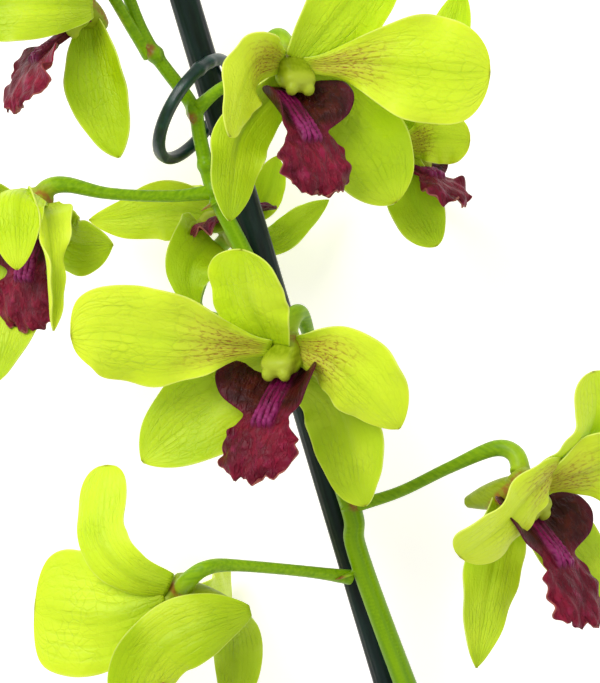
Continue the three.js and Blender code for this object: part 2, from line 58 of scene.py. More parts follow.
RIDGE_WIDTH = 0.2
CAMERA = dict(height=640.0, clear=600.0, view=136.6, sensor=36.0)  # sees view at the distance clear

# Fineness of the meshes, and places that a pattern along them follows
BLADE_GRID = (56, 32)
LIP_GRID = (110, 84)
CURVE_STEPS = 60  # for each point of a curve
COLUMN_VOXEL = 0.29
STEM_VOXEL = 0.42
SKIN_ROUNDS = 4  # rounds of smoothing of a grown skin
STALK_STEPS = 160
STEM_STEPS = 400
SEEDS_EACH = 10  # random seeds set aside for each flower

STAKE = dict(
    low=[48.3, -172.0, 3.1], high=[-33.6, 104.0, 43.0], radius=3.0, sides=128, rings=120,
    foot_rings=[0, 0.0006, 0.002, 0.004], top_rings=[0.996, 0.998, 0.9994, 1],
)
STEM = dict(
    points=[
        [57.5, -165.0, 3.6], [40.0, -118.0, 14.4], [21.5, -70.0, 24.4], [11.6, -42.5, 28.4],
        [10.4, -34.0, 29.6], [0.2, -5.8, 33.6], [-11.5, 18.4, 37.0], [-17.4, 30.4, 38.6],
        [-20.0, 40.7, 40.2], [-21.6, 47.2, 41.3], [-29.5, 58.2, 43.0], [-33.8, 67.8, 44.5],
        [-38.6, 84.0, 46.4], [-41.5, 102.0, 47.4], [-46.0, 120.0, 47.4],
    ],
    radii=[2.5, 2.45, 2.4, 2.45, 2.45, 2.3, 2.2, 2.1, 1.9, 1.75, 1.5, 1.4, 1.2, 1.0, 0.85],
)
BRACTS = [
    dict(at=[9.4, -33.8, 31.0], towards=[0.9, 0.4, 0.3]),
    dict(at=[9.6, -47.6, 29.4], towards=[-0.9, -0.3, 0.3]),
    dict(at=[-17.4, 27.6, 39.6], towards=[-0.8, -0.5, 0.3]),
    dict(at=[-22.2, 46.0, 42.2], towards=[0.2, -0.9, 0.3]),
    dict(at=[-28.6, 56.6, 43.6], towards=[-0.7, 0.6, 0.3]),
]
BRACT = dict(length=4.2, width=3.4, thickness=0.8)
STEM_NODE = [1.9, 1.9, 2.4]  # half-widths and half-length of the swelling at the foot of a stalk
BUDS = [
    dict(
        foot=[-38.2, 81.0, 45.6], elbow=[-34.0, 90.0, 47.5], tip=[-27.0, 93.0, 46.0],
        length=17, radius=5.0,
    ),
    dict(
        foot=[-40.6, 95.0, 46.7], elbow=[-47.0, 102.0, 49.0], tip=[-53.5, 103.5, 47.5],
        length=14, radius=4.2,
    ),
    dict(
        foot=[-42.4, 107.0, 47.0], elbow=[-37.0, 113.0, 48.5], tip=[-31.5, 114.5, 47.0],
        length=11, radius=3.4,
    ),
    dict(
        foot=[-45.4, 118.0, 47.0], elbow=[-47.0, 122.0, 47.0], tip=[-48.5, 125.5, 46.5],
        length=8, radius=2.5,
    ),
]
BUD_STALK = [1.1, 0.9, 0.9]
BUD_SHARES = [0.3, 0.95, 1.0, 0.7, 0.16]  # of a bud's radius, from its foot to its tip

# The catches are ridges around the strand: angle, width and share of the radius that each adds
TIE = dict(
    centre=[-21.2, 46.6, 38.7], along=[-6.2, -9.5, 0], across=[-3.0, 2.1, 9.4], radius=1.2, flat=0.92,
    catches=[[2.2, 0.09, 0.18], [2.5, 0.06, 0.1]], steps=180, sides=28,
)

# A usual flower's blades: width, degrees of cup from base to tip, height of the ruffle, and outline, which
# is the share of the width at the base, widest place, claw, fullness and bluntness of the tip
PETAL = dict(width=21, cup=[20, 5, -6], ruffle=1.0, outline=[0.16, 0.62, 1.3, 2.3, 0.55])
LATERAL_SEPAL = dict(width=17, cup=[20, 12, 8], ruffle=0.7, outline=[0.6, 0.42, 1.0, 1.9, 0.8])
FORMS = dict(
    left_petal=PETAL,
    right_petal=PETAL,
    left_lateral_sepal=LATERAL_SEPAL,
    right_lateral_sepal=LATERAL_SEPAL,
    dorsal_sepal=dict(width=17, cup=[25, 14, 8], ruffle=0.4, outline=[0.6, 0.45, 1.2, 2.2, 0.7]),
)

# A usual lip: its floor's dip and its lobes' fold, both in degrees, and its half-width, from base to tip
LIP = dict(
    start=[0, -3.6, -3], length=27.4, dip=[26, 32, 46, 64, 84],
    half=[3.4, 9.8, 12.8, 13.6, 13.2, 10.8, 5.4, 6.2, 7.8, 8.7, 8.8, 8.0, 6.6],
    fold=[60, 54, 52, 46, 20, 0, -10, -20, -26],
)
NARROW_LIP = dict(
    dip=[10, 14, 24, 40, 60], half=[3.0, 6.8, 8.6, 9.0, 8.6, 7.0, 4.0, 4.8, 6.0, 6.6, 6.6, 5.8, 4.6],
)

# The boxy column: the ends of its axis, its half-width, and its heights above and below the axis
COLUMN = dict(
    low=[0, 1.6, -3.0], high=[0, -3.0, 5.6], wide=[2.8, 3.0, 3.3, 3.5, 3.5, 3.1],
    above=[2.5, 2.5, 2.4, 2.3, 2.2, 1.9], below=[2.3, 2.2, 2.2, 2.3, 2.4, 2.3],
)
CHIN = dict(tip=[0, -6.0, -14.0], radii=[2.6, 3.2, 2.6, 1.2])
PEDICEL_RADII = [1.6, 1.3, 1.2, 1.2, 1.25, 1.5, 1.8, 2.0]
COLUMN_EDGE = (3.4, 4.4)  # distance from its axis over which the column's colour ends
CHIN_EDGE = (3.2, 4.4)

PALETTE = dict(
    blade=dict(
        lateral="#a5c206", dorsal="#c0de10", petal="#cde428", light="#ddf03a", base="#a0ba10",
        midline_shade="#9ab808", vein="#7d9c08", stain="#bda63a", dash="#8a3f1c", margin="#e3f08a", tip="#7a6a1c",
    ),
    lip=dict(
        lobe_dark="#300d08", lobe="#4c160c", lobe_edge="#5c0a2a", front_dark="#5a081c", front="#86122f",
        mottle="#9a2250", shaded_crease="#3a0614", band_dark="#40021a", band="#80064a", ridge="#902a66",
        rim="#c07a66",
    ),
    column=dict(
        hood_dark="#84980a", hood="#9aac1c", cap="#a8b82c", ring="#9a5524", stalk_dark="#6a9600",
        stalk="#8cb404", stalk_end="#a9c622",
    ),
    stem=dict(dark="#628e00", light="#84ac06", speck="#6f7a22", bud="#a6c62e", scar="#8a5a26"),
    stake=dict(dark="#061512", light="#0e2622", speck="#35524c"),
    tie=dict(dark="#08271f", light="#113a30"),
    floor=dict(glow="#fffafc", dark="#fbf6f9", light="#fffbfd"),
)
PLAIN_FLOWERS = ["flower_1", "flower_4", "flower_5", "flower_8"]  # their petals show no stain

# Light and floor, in metres and watts
FLOOR_HALF = 3
SKY = dict(colour=(1.0, 0.99, 1.0, 1.0), strength=0.58)
LAMPS = [
    dict(name="key", place=(-0.5, 0.55, 0.9), target=(0, 0.02, 0.04), size=0.7, power=9.2),
    dict(name="fill", place=(0.7, -0.3, 0.8), target=(0, 0, 0.04), size=0.9, power=2.0),
]

# Each flower: its centre, size, facing (turn about Y, then tilt), the points of its stalk and its
# blades. A blade's line is in the photograph's axes, front is where its face looks if not where the
# flower's does, roll turns it about its line and skew widens one side. A lip's start and dip are in its
# own axes, open and lobes are left and right shares of its fold and width, and lean moves its tip.
UP, DOWN = [0, 0, 1], [0, 0, -1]
FLOWERS = {
  "flower_1": dict(
    at=[-25.3, -50.6, 34], size=1.01, faces=[-115, -10],
    pedicel=[
      [10.4, -48.2, 27], [0, -46.4, 33], [-14, -44.8, 39], [-18.8, -45.2, 42], [-21.6, -47, 41],
      [-23.6, -49.4, 37],
    ],
    left_petal=dict(
      line=[[-2, -1, 3], [-13.6, -4.4, 2], [-28.4, -3.2, -4]], width=25, front=DOWN,
      outline=[0.3, 0.68, 1, 4.4, 0.5],
    ),
    right_petal=dict(line=[[1, -1.4, -2], [8, -4, -16], [10.6, -4.4, -33.5]], width=15, front=[1, 0, 0.2]),
    left_lateral_sepal=dict(
      line=[[15.2, -3.2, 6], [7, -5.4, 8.4], [-1.6, -9.6, 8], [-7, -17.4, 5], [-8, -27, 0]], width=14.6,
      front=DOWN, outline=[0.16, 0.4, 0.8, 2.6, 0.6],
    ),
    right_lateral_sepal=dict(line=[[11, -3.6, 3.5], [12.6, -12, -5], [11, -28, -12]], width=10, front=DOWN),
    dorsal_sepal=dict(
      line=[[-1, 1.4, 3.5], [-9, 4.6, 6.5], [-14.6, 12, 5], [-13.6, 25.4, 0]], width=10.8, front=DOWN,
      roll=[10, 20, 25, 25], outline=[0.5, 0.5, 1, 6, 0.42],
    ),
    lip=dict(NARROW_LIP, faces=[-96, -66], start=[0, -2.5, -4], dip=[0, 4, 8, 16, 30], lobes=[0.5, 0.5]),
  ),
  "flower_2": dict(
    at=[44.8, -29, 46], size=0.99, faces=[48, -22], chin=[0, -9, -13],
    pedicel=[
      [9.2, -34, 29], [19.6, -30.6, 33.5], [29.8, -25.4, 38], [38.6, -21.4, 41.5], [42.6, -22.2, 43],
      [43.8, -25.4, 44],
    ],
    left_petal=dict(
      line=[[3, 1.5, 1], [4.5, 3.4, 6], [0, -0.6, 11], [-6, -7.4, 12.5], [-14, -13, 11]], width=15.6,
      outline=[0.4, 0.8, 2.2, 2.8, 0.5],
    ),
    right_petal=dict(line=[[1, 0, 1], [14, 4, 3], [30, 8, 0]], width=20),
    left_lateral_sepal=dict(
      line=[[-3.4, -2.5, -4], [-7.2, -19, -1], [-10, -36, 0]], width=12.4, front=[0.4, 0, 1],
    ),
    right_lateral_sepal=dict(line=[[0, -2.5, -4], [13, -17, -10], [24, -28, -14]], width=14),
    dorsal_sepal=dict(
      line=[[1, 2, 0], [9, 6.5, 3], [13.2, 13.6, 5], [12.6, 23.4, 7]], width=15,
      outline=[0.5, 0.6, 1.2, 4.4, 0.5],
    ),
    lip=dict(faces=[46, -26], length=31, dip=[14, 18, 30, 46, 66], open=[0.55, 0.7], lean=6),
  ),
  "flower_3": dict(
    at=[-2.9, -2, 60], size=0.97, faces=[-26, -12],
    pedicel=[[3.6, -16.6, 31], [3.4, -6, 40], [1, 3.6, 51], [-0.6, 5.6, 55], [-2.2, 2.6, 57]],
    left_petal=dict(
      line=[[-3, 0.8, 1], [-22, 2.4, 9], [-35, 3.9, 12.5], [-41.8, 3.2, 13]], width=20.6,
      outline=[0.18, 0.62, 1.9, 3, 0.5],
    ),
    right_petal=dict(
      line=[[2, 1.2, 0], [10, -2.6, 4.5], [16.6, -8.6, 5], [22.8, -15.2, 3]], width=16.6,
      skew=[0, -0.22, -0.2, -0.1], outline=[0.3, 0.55, 1.2, 2, 0.75],
    ),
    left_lateral_sepal=dict(
      line=[[-0.5, -2, -2.5], [-17, -12.5, -3], [-28.6, -22, -2]], width=19,
      outline=[0.6, 0.5, 1, 2.1, 0.72],
    ),
    right_lateral_sepal=dict(
      line=[[0.5, -2, -2.5], [9, -8.6, -4], [12.6, -16.8, -5.5], [14.2, -26, -6.5], [16.2, -31.2, -7]],
      width=15.6, outline=[0.5, 0.5, 1, 2.4, 0.65],
    ),
    dorsal_sepal=dict(
      line=[[-3, 1.6, 0], [-6.4, 9.4, 6], [-8.4, 20, 14]], width=16.4, cup=[25, 14, 10],
      outline=[0.6, 0.5, 1, 3.4, 0.55],
    ),
    lip=dict(faces=[-28, -10], open=[0.7, 0.85], lobes=[1, 0.8], lean=-2.4),
  ),
  "flower_4": dict(
    at=[-14.1, 24.7, 20], size=1.03, faces=[-100, 30], chin=[0, -4, -8],
    pedicel=[[-6.6, 6.4, 34.6], [-15.4, 4.6, 25], [-21, 6.8, 18], [-20.8, 11.6, 15], [-17.4, 19, 16]],
    left_petal=dict(
      line=[[-2, 1, -2], [-13, 2.4, -3], [-22, 0.8, -4], [-29, 0.6, -5]], width=12, front=UP,
      outline=[0.5, 0.42, 1, 1.6, 0.8],
    ),
    right_petal=dict(line=[[1, 1, -1], [-5, 3, -8], [-13, 4.6, -18.6]], width=9, front=UP),
    left_lateral_sepal=dict(
      line=[[-3.6, -4, 2.5], [-7.4, -8, 7], [-8.2, -13, 8], [-6.6, -17.4, 6.5]], width=16.6, front=UP,
      outline=[0.9, 0.12, 1, 1, 0.8],
    ),
    right_lateral_sepal=dict(
      line=[[3, -4, -2], [9, -3.4, -4], [13.7, 0.6, -7], [19.6, 4.9, -10]], width=6.4, front=UP,
    ),
    dorsal_sepal=dict(line=[[3, 1, -2], [6.6, 4.6, -4], [9, 13.6, -6]], width=6.6, front=UP),
    lip=dict(
      NARROW_LIP, faces=[-82, -12], start=[2.6, 1, -9], length=19, dip=[-6, -2, 4, 10, 20],
      lobes=[0.7, 0.5],
    ),
  ),
  "flower_5": dict(
    at=[-52.3, 26.4, 48], size=0.99, faces=[-30, -25], chin=[-1, -9, -9],
    pedicel=[
      [-17.4, 30, 38.4], [-26, 29, 41.5], [-38, 29.4, 44.5], [-46, 31, 46.5], [-49.8, 30.4, 47],
      [-51.8, 28, 47],
    ],
    left_petal=dict(line=[[-3, 1, 1], [-18, 4, 4], [-36, 2, 4]], width=20),
    right_petal=dict(
      line=[[1.6, 0.6, 3], [3.2, -2.4, 10], [4.5, -13, 14], [4.8, -24.6, 13.6]], width=10.6,
      front=[0.2, 0, 1], roll=[20, 35, 40, 40], cup=[50, 60, 60], outline=[0.7, 0.16, 1, 1, 0.6],
    ),
    left_lateral_sepal=dict(line=[[0, -2, -3], [-4, -20, -2.5], [-8, -35, 0]], width=15),
    right_lateral_sepal=dict(line=[[2, -1.6, -3], [8, -7, -2], [15.6, -7.4, 0]], width=14),
    dorsal_sepal=dict(
      line=[[0.5, 1.6, 2], [-1.6, 2.4, 9], [-2.6, -1, 15], [-2, -12.8, 16.5]], width=11, front=[0, -1, -1],
    ),
    lip=dict(faces=[-38, -25], length=24.5, open=[0.8, 0.9], lobes=[1, 0.7]),
  ),
  "flower_6": dict(
    at=[-1.5, 52.7, 62], size=0.96, faces=[24, -12],
    pedicel=[
      [-20.6, 46.4, 41], [-16.8, 49.4, 45], [-11.8, 52.4, 49.5], [-7.2, 57.2, 55], [-4.2, 59.2, 58],
      [-2.4, 56.4, 60],
    ],
    left_petal=dict(
      line=[[-2, 1.4, 1], [-7.2, 0.4, 9], [-10.2, -6, 15], [-12.2, -15, 18]], width=15, front=[0.3, 0.2, 1],
      roll=[40, 50, 50], outline=[0.3, 0.5, 1.2, 2.4, 0.6],
    ),
    right_petal=dict(
      line=[[2.5, 0.5, 0], [15.5, 0.6, 3.5], [30.5, -1.2, 4.5], [39.6, -1.4, 3]], width=21.6,
      outline=[0.16, 0.68, 2.1, 2.8, 0.5],
    ),
    left_lateral_sepal=dict(
      line=[[-0.5, -2, -2.5], [-9.4, -12, -1], [-11.6, -20, 1], [-12.6, -30.8, 2]], width=12.6,
      outline=[0.5, 0.5, 1, 1.9, 0.7],
    ),
    right_lateral_sepal=dict(
      line=[[0.5, -2, -2.5], [13.2, -14, -4], [21, -26.8, -6]], width=19.6, outline=[0.6, 0.5, 1, 2.4, 0.6],
    ),
    dorsal_sepal=dict(
      line=[[1.4, 1.2, 0], [12, 13.6, 4], [19.6, 27, 6]], width=17, outline=[0.45, 0.5, 1, 2.2, 0.6],
    ),
    lip=dict(faces=[36, -8], start=[-2.5, -4.4, -2], open=[1.4, 0.7], lobes=[0.55, 1], lean=1.5),
  ),
  "flower_7": dict(
    at=[21.1, 38.6, 36], size=1, faces=[95, -12],
    pedicel=[
      [-18.8, 36, 38], [-18.6, 35.8, 33], [-17.4, 36, 28], [-13, 41, 26.5], [-7, 47, 28.5], [3, 47.5, 32],
      [13, 44, 35.5], [18.4, 40.4, 36],
    ],
    left_petal=dict(line=[[-2, 1, 1], [-6, 8, 6], [-8, 16, 10]], width=16, front=UP),
    right_petal=dict(
      line=[[1, 1, 3], [6, 1.8, 6], [12.8, 1.4, 7]], width=10, front=UP, outline=[0.5, 0.55, 1, 3, 0.5],
    ),
    left_lateral_sepal=dict(
      line=[[0.5, -1.5, 3], [1.4, -10.4, 5], [6.2, -19.6, 5]], width=10.4, front=UP,
      outline=[0.4, 0.5, 1, 2.6, 0.6],
    ),
    right_lateral_sepal=dict(
      line=[[0.5, -0.5, -3], [5, -6, -18], [7, -9, -35.8]], width=13, front=[1, 0, 0],
    ),
    dorsal_sepal=dict(line=[[0, 1, 0], [6, 14, 2], [11.5, 32, 3]], width=10, front=UP),
    lip=dict(NARROW_LIP, faces=[46, -10], start=[0, -3.4, -2], length=19.5, dip=[0, 4, 12, 26, 44]),
  ),
  "flower_8": dict(
    at=[-43.9, 65.8, 52], size=0.98, faces=[-45, -30], chin=[0, -7, -5],
    pedicel=[
      [-29.8, 56.8, 42.4], [-33.4, 62.2, 45], [-36.6, 67.6, 48], [-39.6, 72.2, 50.5], [-42.4, 73.4, 52],
      [-44.2, 70.6, 52.6],
    ],
    left_petal=dict(line=[[-3, 3, 0], [-16, 11, -1], [-31, 16, -5]], width=20),
    right_petal=dict(line=[[1, 3, 2], [3, 11, 9], [2, 20, 15]], width=18, front=[-1, 0, 0.4]),
    left_lateral_sepal=dict(
      line=[[3.4, -0.6, 4], [-5, -1, 11], [-14, -1.6, 12], [-24, -4, 9]], width=14, front=UP,
      outline=[0.34, 0.55, 0.9, 2.4, 0.6],
    ),
    right_lateral_sepal=dict(
      line=[[2.5, -3, -2], [4.8, -17, 0], [8.6, -30.4, 0]], width=14, front=[-0.2, 0, 1], cup=[50, 50, 40],
      outline=[0.4, 0.5, 1, 1.9, 0.75],
    ),
    dorsal_sepal=dict(line=[[-1, 4, 3], [-7, 14, 5], [-13, 26, 6]], width=15),
    lip=dict(
      faces=[-62, -20], length=26, dip=[10, 14, 24, 40, 60], lobes=[0.5, 0.3], lean=-3,
      half=[3, 6.8, 8.6, 9.4, 9.4, 9, 8.4, 8.8, 9.6, 10, 10, 9, 7.4],
    ),
  ),
}


# Curves and surfaces
def unit(v):
    return v / np.maximum(norm(v, axis=-1, keepdims=True), 1e-9)


def smooth(low, high, value):
    q = np.clip((value - low) / (high - low), 0, 1)
    return q * q * (3 - 2 * q)


def along(values, t):
    """A smooth value at t, from 0 to 1, through equally spaced values or points."""
    values = np.asarray(values, float)
    t = np.clip(np.asarray(t, float), 0, 1)
    last = len(values) - 1
    if last == 0:
        return np.broadcast_to(values[0], t.shape + values.shape[1:]).copy()
    place = t * last
    i = np.minimum(place.astype(int), last - 1)
    padded = np.concatenate([[2 * values[0] - values[1]], values, [2 * values[-1] - values[-2]]])
    a, b, c, d = (padded[i + k] for k in range(4))
    f = (place - i).reshape(t.shape + (1,) * (values.ndim - 1))
    return b + 0.5 * f * (c - a + f * (2 * a - 5 * b + 4 * c - d + f * (3 * (b - c) + d - a)))


def spine(points, t):
    """Points and directions at the shares t of the curve through points, and the curve's length."""
    fine = along(points, np.linspace(0, 1, CURVE_STEPS * len(points)))
    run = np.concatenate([[0], np.cumsum(norm(np.diff(fine, axis=0), axis=1))])
    way = np.gradient(fine, axis=0)
    at = np.stack([np.interp(t * run[-1], run, fine[:, k]) for k in range(3)], 1)
    tangent = np.stack([np.interp(t * run[-1], run, way[:, k]) for k in range(3)], 1)
    return at, unit(tangent), run[-1]


def turn_of(yaw, pitch):
    """The turn by pitch about X and then yaw about Y, in degrees."""
    a, b = math.radians(yaw), math.radians(pitch)
    about_y = np.array([[math.cos(a), 0, math.sin(a)], [0, 1, 0], [-math.sin(a), 0, math.cos(a)]])
    about_x = np.array([[1, 0, 0], [0, math.cos(b), math.sin(b)], [0, -math.sin(b), math.cos(b)]])
    return about_y @ about_x


def turn_to(way):
    """The turn that takes +Z to way."""
    z = unit(np.asarray(way, float))
    x = unit(np.cross([0.0, 1.0, 0.0] if abs(z[1]) < 0.9 else [1.0, 0.0, 0.0], z))
    return np.stack([x, np.cross(z, x), z], 1)


def width_share(outline, t):
    """Share of a blade's full width at t."""
    base, widest, claw, fullness, bluntness = outline
    rise = base + (1 - base) * np.sin(np.clip(t / widest, 0, 1) * np.pi / 2) ** claw
    past = np.clip((t - widest) / (1 - widest), 0, 1)
    fall = np.maximum(1 - past**fullness, 0) ** bluntness
    return np.maximum(np.where(t < widest, rise, fall), LEAST_WIDTH)


def blade_surface(form, facing, random):
    """The middle surface of a petal or sepal, its places across and along, and its thickness."""
    rows, columns = BLADE_GRID
    u = np.linspace(0, 1, rows + 1)
    t = 0.4 * u + 0.6 * np.sin(u * np.pi / 2)
    s = np.sin(np.linspace(-1, 1, columns + 1) * np.pi / 2)
    run, side, hand = t[:, None], np.abs(s)[None, :], np.sign(s)
    at, tangent, _ = spine(form["line"], t)
    reference = np.array(form.get("front", facing), float)
    normal = unit(reference - (tangent @ reference)[:, None] * tangent)
    across = np.cross(tangent, normal)
    roll = np.radians(along(form.get("roll", [0]), t))[:, None]
    turn, lift = np.cos(roll), np.sin(roll)
    across, normal = across * turn + normal * lift, normal * turn - across * lift
    half = width_share(form["outline"], t)[:, None] * form["width"] / 2
    phase = random.uniform(0, 2 * np.pi, 8)
    nick = 0.028 * np.sin(8 * run + phase[0]) + 0.014 * np.sin(19 * run + phase[1])
    nick = nick * np.where(s < 0, 1, 0.7) + 0.022 * np.sin(11 * run + phase[6] + 2 * hand)
    skew = along(form.get("skew", [0]), t)[:, None]
    reach = half * side * (1 + skew * hand) * (1 + nick * smooth(0.25, 0.5, run) * side**4)
    bend = np.maximum(np.radians(along(form["cup"], t))[:, None] * side, 1e-4)
    x = reach * np.sin(bend) / bend * hand
    z = reach * (1 - np.cos(bend)) / bend
    body = np.sin(np.pi * run**0.8)
    z = z - 0.4 * body * np.exp(-((x / 0.8) ** 2))
    z = z + 0.05 * body * np.cos(2 * np.pi * 5.5 * s) * (1 - side**4)
    z = z + 0.35 * body * np.sin(0.55 * x + phase[7] + 4 * run)
    for sign, a, b in ((-1, phase[2], phase[3]), (1, phase[4], phase[5])):
        wave = np.sin(2 * np.pi * 1.6 * run + a) + 0.55 * np.sin(2 * np.pi * 3.9 * run + b)
        z = z + form["ruffle"] * (wave * body) * side**3 * (hand == sign)
    surface = at[:, None] + across[:, None] * x[..., None] + normal[:, None] * z[..., None]
    thick = EDGE + (SHEET - EDGE) * (1 - side**5) * (1 - run**12)
    places = np.stack(np.broadcast_arrays(s[None, :], run), -1)
    return surface, places, thick


def lip_floor(form, t):
    """Points down the middle of the lip's floor, and the ways up from it and down along it."""
    steps = 400
    fine = (np.arange(steps) + 0.5) / steps
    dip = np.radians(along(form["dip"], fine))
    step = np.stack([0 * dip, -np.sin(dip), np.cos(dip)], 1) * form["length"] / steps
    line = np.concatenate([[form["start"]], np.asarray(form["start"]) + np.cumsum(step, 0)])
    middle = np.stack([np.interp(t * steps, np.arange(steps + 1), line[:, k]) for k in range(3)], 1)
    dip = np.radians(along(form["dip"], t))
    up = np.stack([0 * dip, np.cos(dip), np.sin(dip)], 1)
    down = np.stack([0 * dip, -np.sin(dip), np.cos(dip)], 1)
    return middle, up, down


def lip_section(form, t, s, half):
    """How far out and up each place of the lip lies, with its side lobes turned up."""
    ways = np.where(s < 0, *form.get("open", [1, 1]))[None, :]
    fold = np.radians(along(form["fold"], t))[:, None]
    fold = np.where(fold > 0, fold * ways, fold)
    count = 40
    share = (np.arange(count) + 0.5) / count
    reach = (half * np.abs(s)[None, :])[..., None]
    turn = fold[..., None] * smooth(LIP_CORE, LIP_CORE + LIP_SOFT, reach * share)
    out = np.sign(s)[None, :] * (np.cos(turn) * reach / count).sum(-1)
    rise = (np.sin(turn) * reach / count).sum(-1)
    return out, rise


def lip_ridges(t, out, crest, phase):
    """The fine ridges on the band, which sway and are toothed towards their crest."""
    ridge = np.zeros_like(out)
    for number, place in enumerate(LIP_RIDGES):
        sway = 0.16 * np.sin(34 * t + 2 * number + phase) * smooth(0.25, 0.55, t)
        wander = (place * (0.8 + 0.4 * t) + sway)[:, None]
        tooth = 1 + 0.25 * crest[:, 0] * np.sin(61 * t + 2 * number) * np.sin(97 * t + number)
        ridge = np.maximum(ridge, tooth[:, None] * np.exp(-(((out - wander) / RIDGE_WIDTH) ** 2)))
    return ridge


def lip_surface(form, random):
    """The lip's middle surface: upturned side lobes, a ridged band down its floor, a ruffled tip."""
    rows, columns = LIP_GRID
    t = np.linspace(0, 1, rows + 1)
    u = np.linspace(-1, 1, columns + 1)
    s = np.sign(u) * np.abs(u) ** 1.5
    run, side, hand = t[:, None], np.abs(s)[None, :], np.sign(s)[None, :]
    middle, up, down = lip_floor(form, t)
    phase = random.uniform(0, 2 * np.pi, 10)
    tip = smooth(0.5, 0.68, run)
    crimp = 0.055 * np.sin(23 * run + phase[0] + hand) + 0.04 * np.sin(47 * run + phase[1] - hand)
    corner = np.sqrt(np.maximum(1 - run**20, 0.02))
    half = along(form["half"], t)[:, None] * corner * (1 + tip * crimp * side**2)
    lobes = np.where(s < 0, *form.get("lobes", [1, 1]))[None, :]
    half = half * (lobes + (1 - lobes) * smooth(0.4, 0.5, run))
    out, rise = lip_section(form, t, s, half)
    edge = np.maximum(side**2.5, smooth(0.8, 1.0, run) * 0.8)
    wave = np.sin(0.9 * out + 14 * run + phase[2]) + 0.7 * np.sin(1.7 * out - 21 * run + phase[3])
    ruffle = np.sin(29 * run + phase[4] + 2 * hand) + 0.6 * np.sin(53 * run + phase[5])
    rise = rise + tip * (0.42 * wave * edge + 0.6 * ruffle * side**3 + 0.18 * wave)
    curl = 0.5 * np.sin(1.3 * out + phase[6]) + 0.4 * np.sin(2.9 * out + phase[7])
    push = smooth(0.86, 1.0, run) * curl
    window = smooth(0.03, 0.12, run) * (1 - smooth(0.57, 0.62, run))
    band = window * (1 - smooth(LIP_BAND["half"] - 0.7, LIP_BAND["half"] + 0.5, np.abs(out)))
    crest = smooth(0.36, 0.5, run) * (1 - smooth(0.58, 0.62, run))
    ridge = window * lip_ridges(t, out, crest, phase[8])
    rise = rise + LIP_BAND["height"] * band + (0.24 + 0.34 * crest) * ridge
    lobe = smooth(0.02, 0.1, run) * (1 - smooth(0.36, 0.46, run))
    rise = rise + 0.12 * lobe * np.sin(1.6 * out + phase[9]) * side
    surface = middle[:, None] + up[:, None] * rise[..., None] + down[:, None] * push[..., None]
    surface[..., 0] += out + form.get("lean", 0) * run**2
    thick = EDGE + (SHEET - EDGE) * (1 - side**5) * (1 - smooth(0.9, 1.0, run))
    places = np.stack(np.broadcast_arrays(s[None, :], run, out / LIP_REACH), -1)
    zones = np.stack(np.broadcast_arrays(band, ridge, crest), -1)
    return surface, places, thick, zones


def closed_sheet(surface, thick):
    """Vertices and faces of a thin closed sheet on both sides of a surface."""
    rows, columns = surface.shape[0] - 1, surface.shape[1] - 1
    normal = unit(np.cross(np.gradient(surface, axis=1), np.gradient(surface, axis=0)))
    offset = normal * np.broadcast_to(thick, surface.shape[:2])[..., None] / 2
    vertices = np.concatenate([(surface + offset).reshape(-1, 3), (surface - offset).reshape(-1, 3)])
    index = np.arange((rows + 1) * (columns + 1)).reshape(rows + 1, columns + 1)
    a, b, c, d = index[:-1, :-1], index[:-1, 1:], index[1:, 1:], index[1:, :-1]
    top = np.stack([a, b, c, d], -1).reshape(-1, 4)
    ring = np.concatenate([index[0, :-1], index[:-1, -1], index[-1, :0:-1], index[:0:-1, 0]])
    ahead = np.roll(ring, -1)
    rim = np.stack([ahead, ring, ring + index.size, ahead + index.size], -1)
    return vertices, np.concatenate([top, top[:, ::-1] + index.size, rim])


# Round shapes that grow together into one skin
def rod(points, radii, sides, steps):
    """A round rod along a curve: vertices and faces of a closed shell."""
    t = np.linspace(0, 1, steps + 1)
    at, tangent, _ = spine(points, t)
    normal = np.zeros_like(tangent)
    normal[0] = turn_to(tangent[0])[:, 0]
    for i in range(1, steps + 1):
        normal[i] = unit(normal[i - 1] - tangent[i] * (normal[i - 1] @ tangent[i]))
    binormal = np.cross(tangent, normal)
    angle = np.arange(sides) * 2 * np.pi / sides
    radius = along(radii, t)[:, None, None]
    ring = np.cos(angle)[:, None] * normal[:, None] + np.sin(angle)[:, None] * binormal[:, None]
    return tube(at[:, None] + ring * radius)


def tube(rings):
    """A closed shell through a stack of rings."""
    count, sides = rings.shape[:2]
    index = np.arange(count * sides).reshape(count, sides)
    ahead = np.roll(index, -1, axis=1)
    walls = np.stack([index[:-1], ahead[:-1], ahead[1:], index[1:]], -1).reshape(-1, 4)
    return rings.reshape(-1, 3), walls.tolist() + [index[0, ::-1].tolist(), index[-1].tolist()]


def egg(at, radii, turn, sides=24, rings=14):
    """An egg-shaped closed shell."""
    polar = np.linspace(0, np.pi, rings + 2)[1:-1]
    angle = np.arange(sides) * 2 * np.pi / sides
    shell = np.stack([
        np.sin(polar)[:, None] * np.cos(angle),
        np.sin(polar)[:, None] * np.sin(angle),
        -np.cos(polar)[:, None] + 0 * angle,
    ], -1)
    return tube(np.asarray(at) + (shell * radii) @ turn.T)


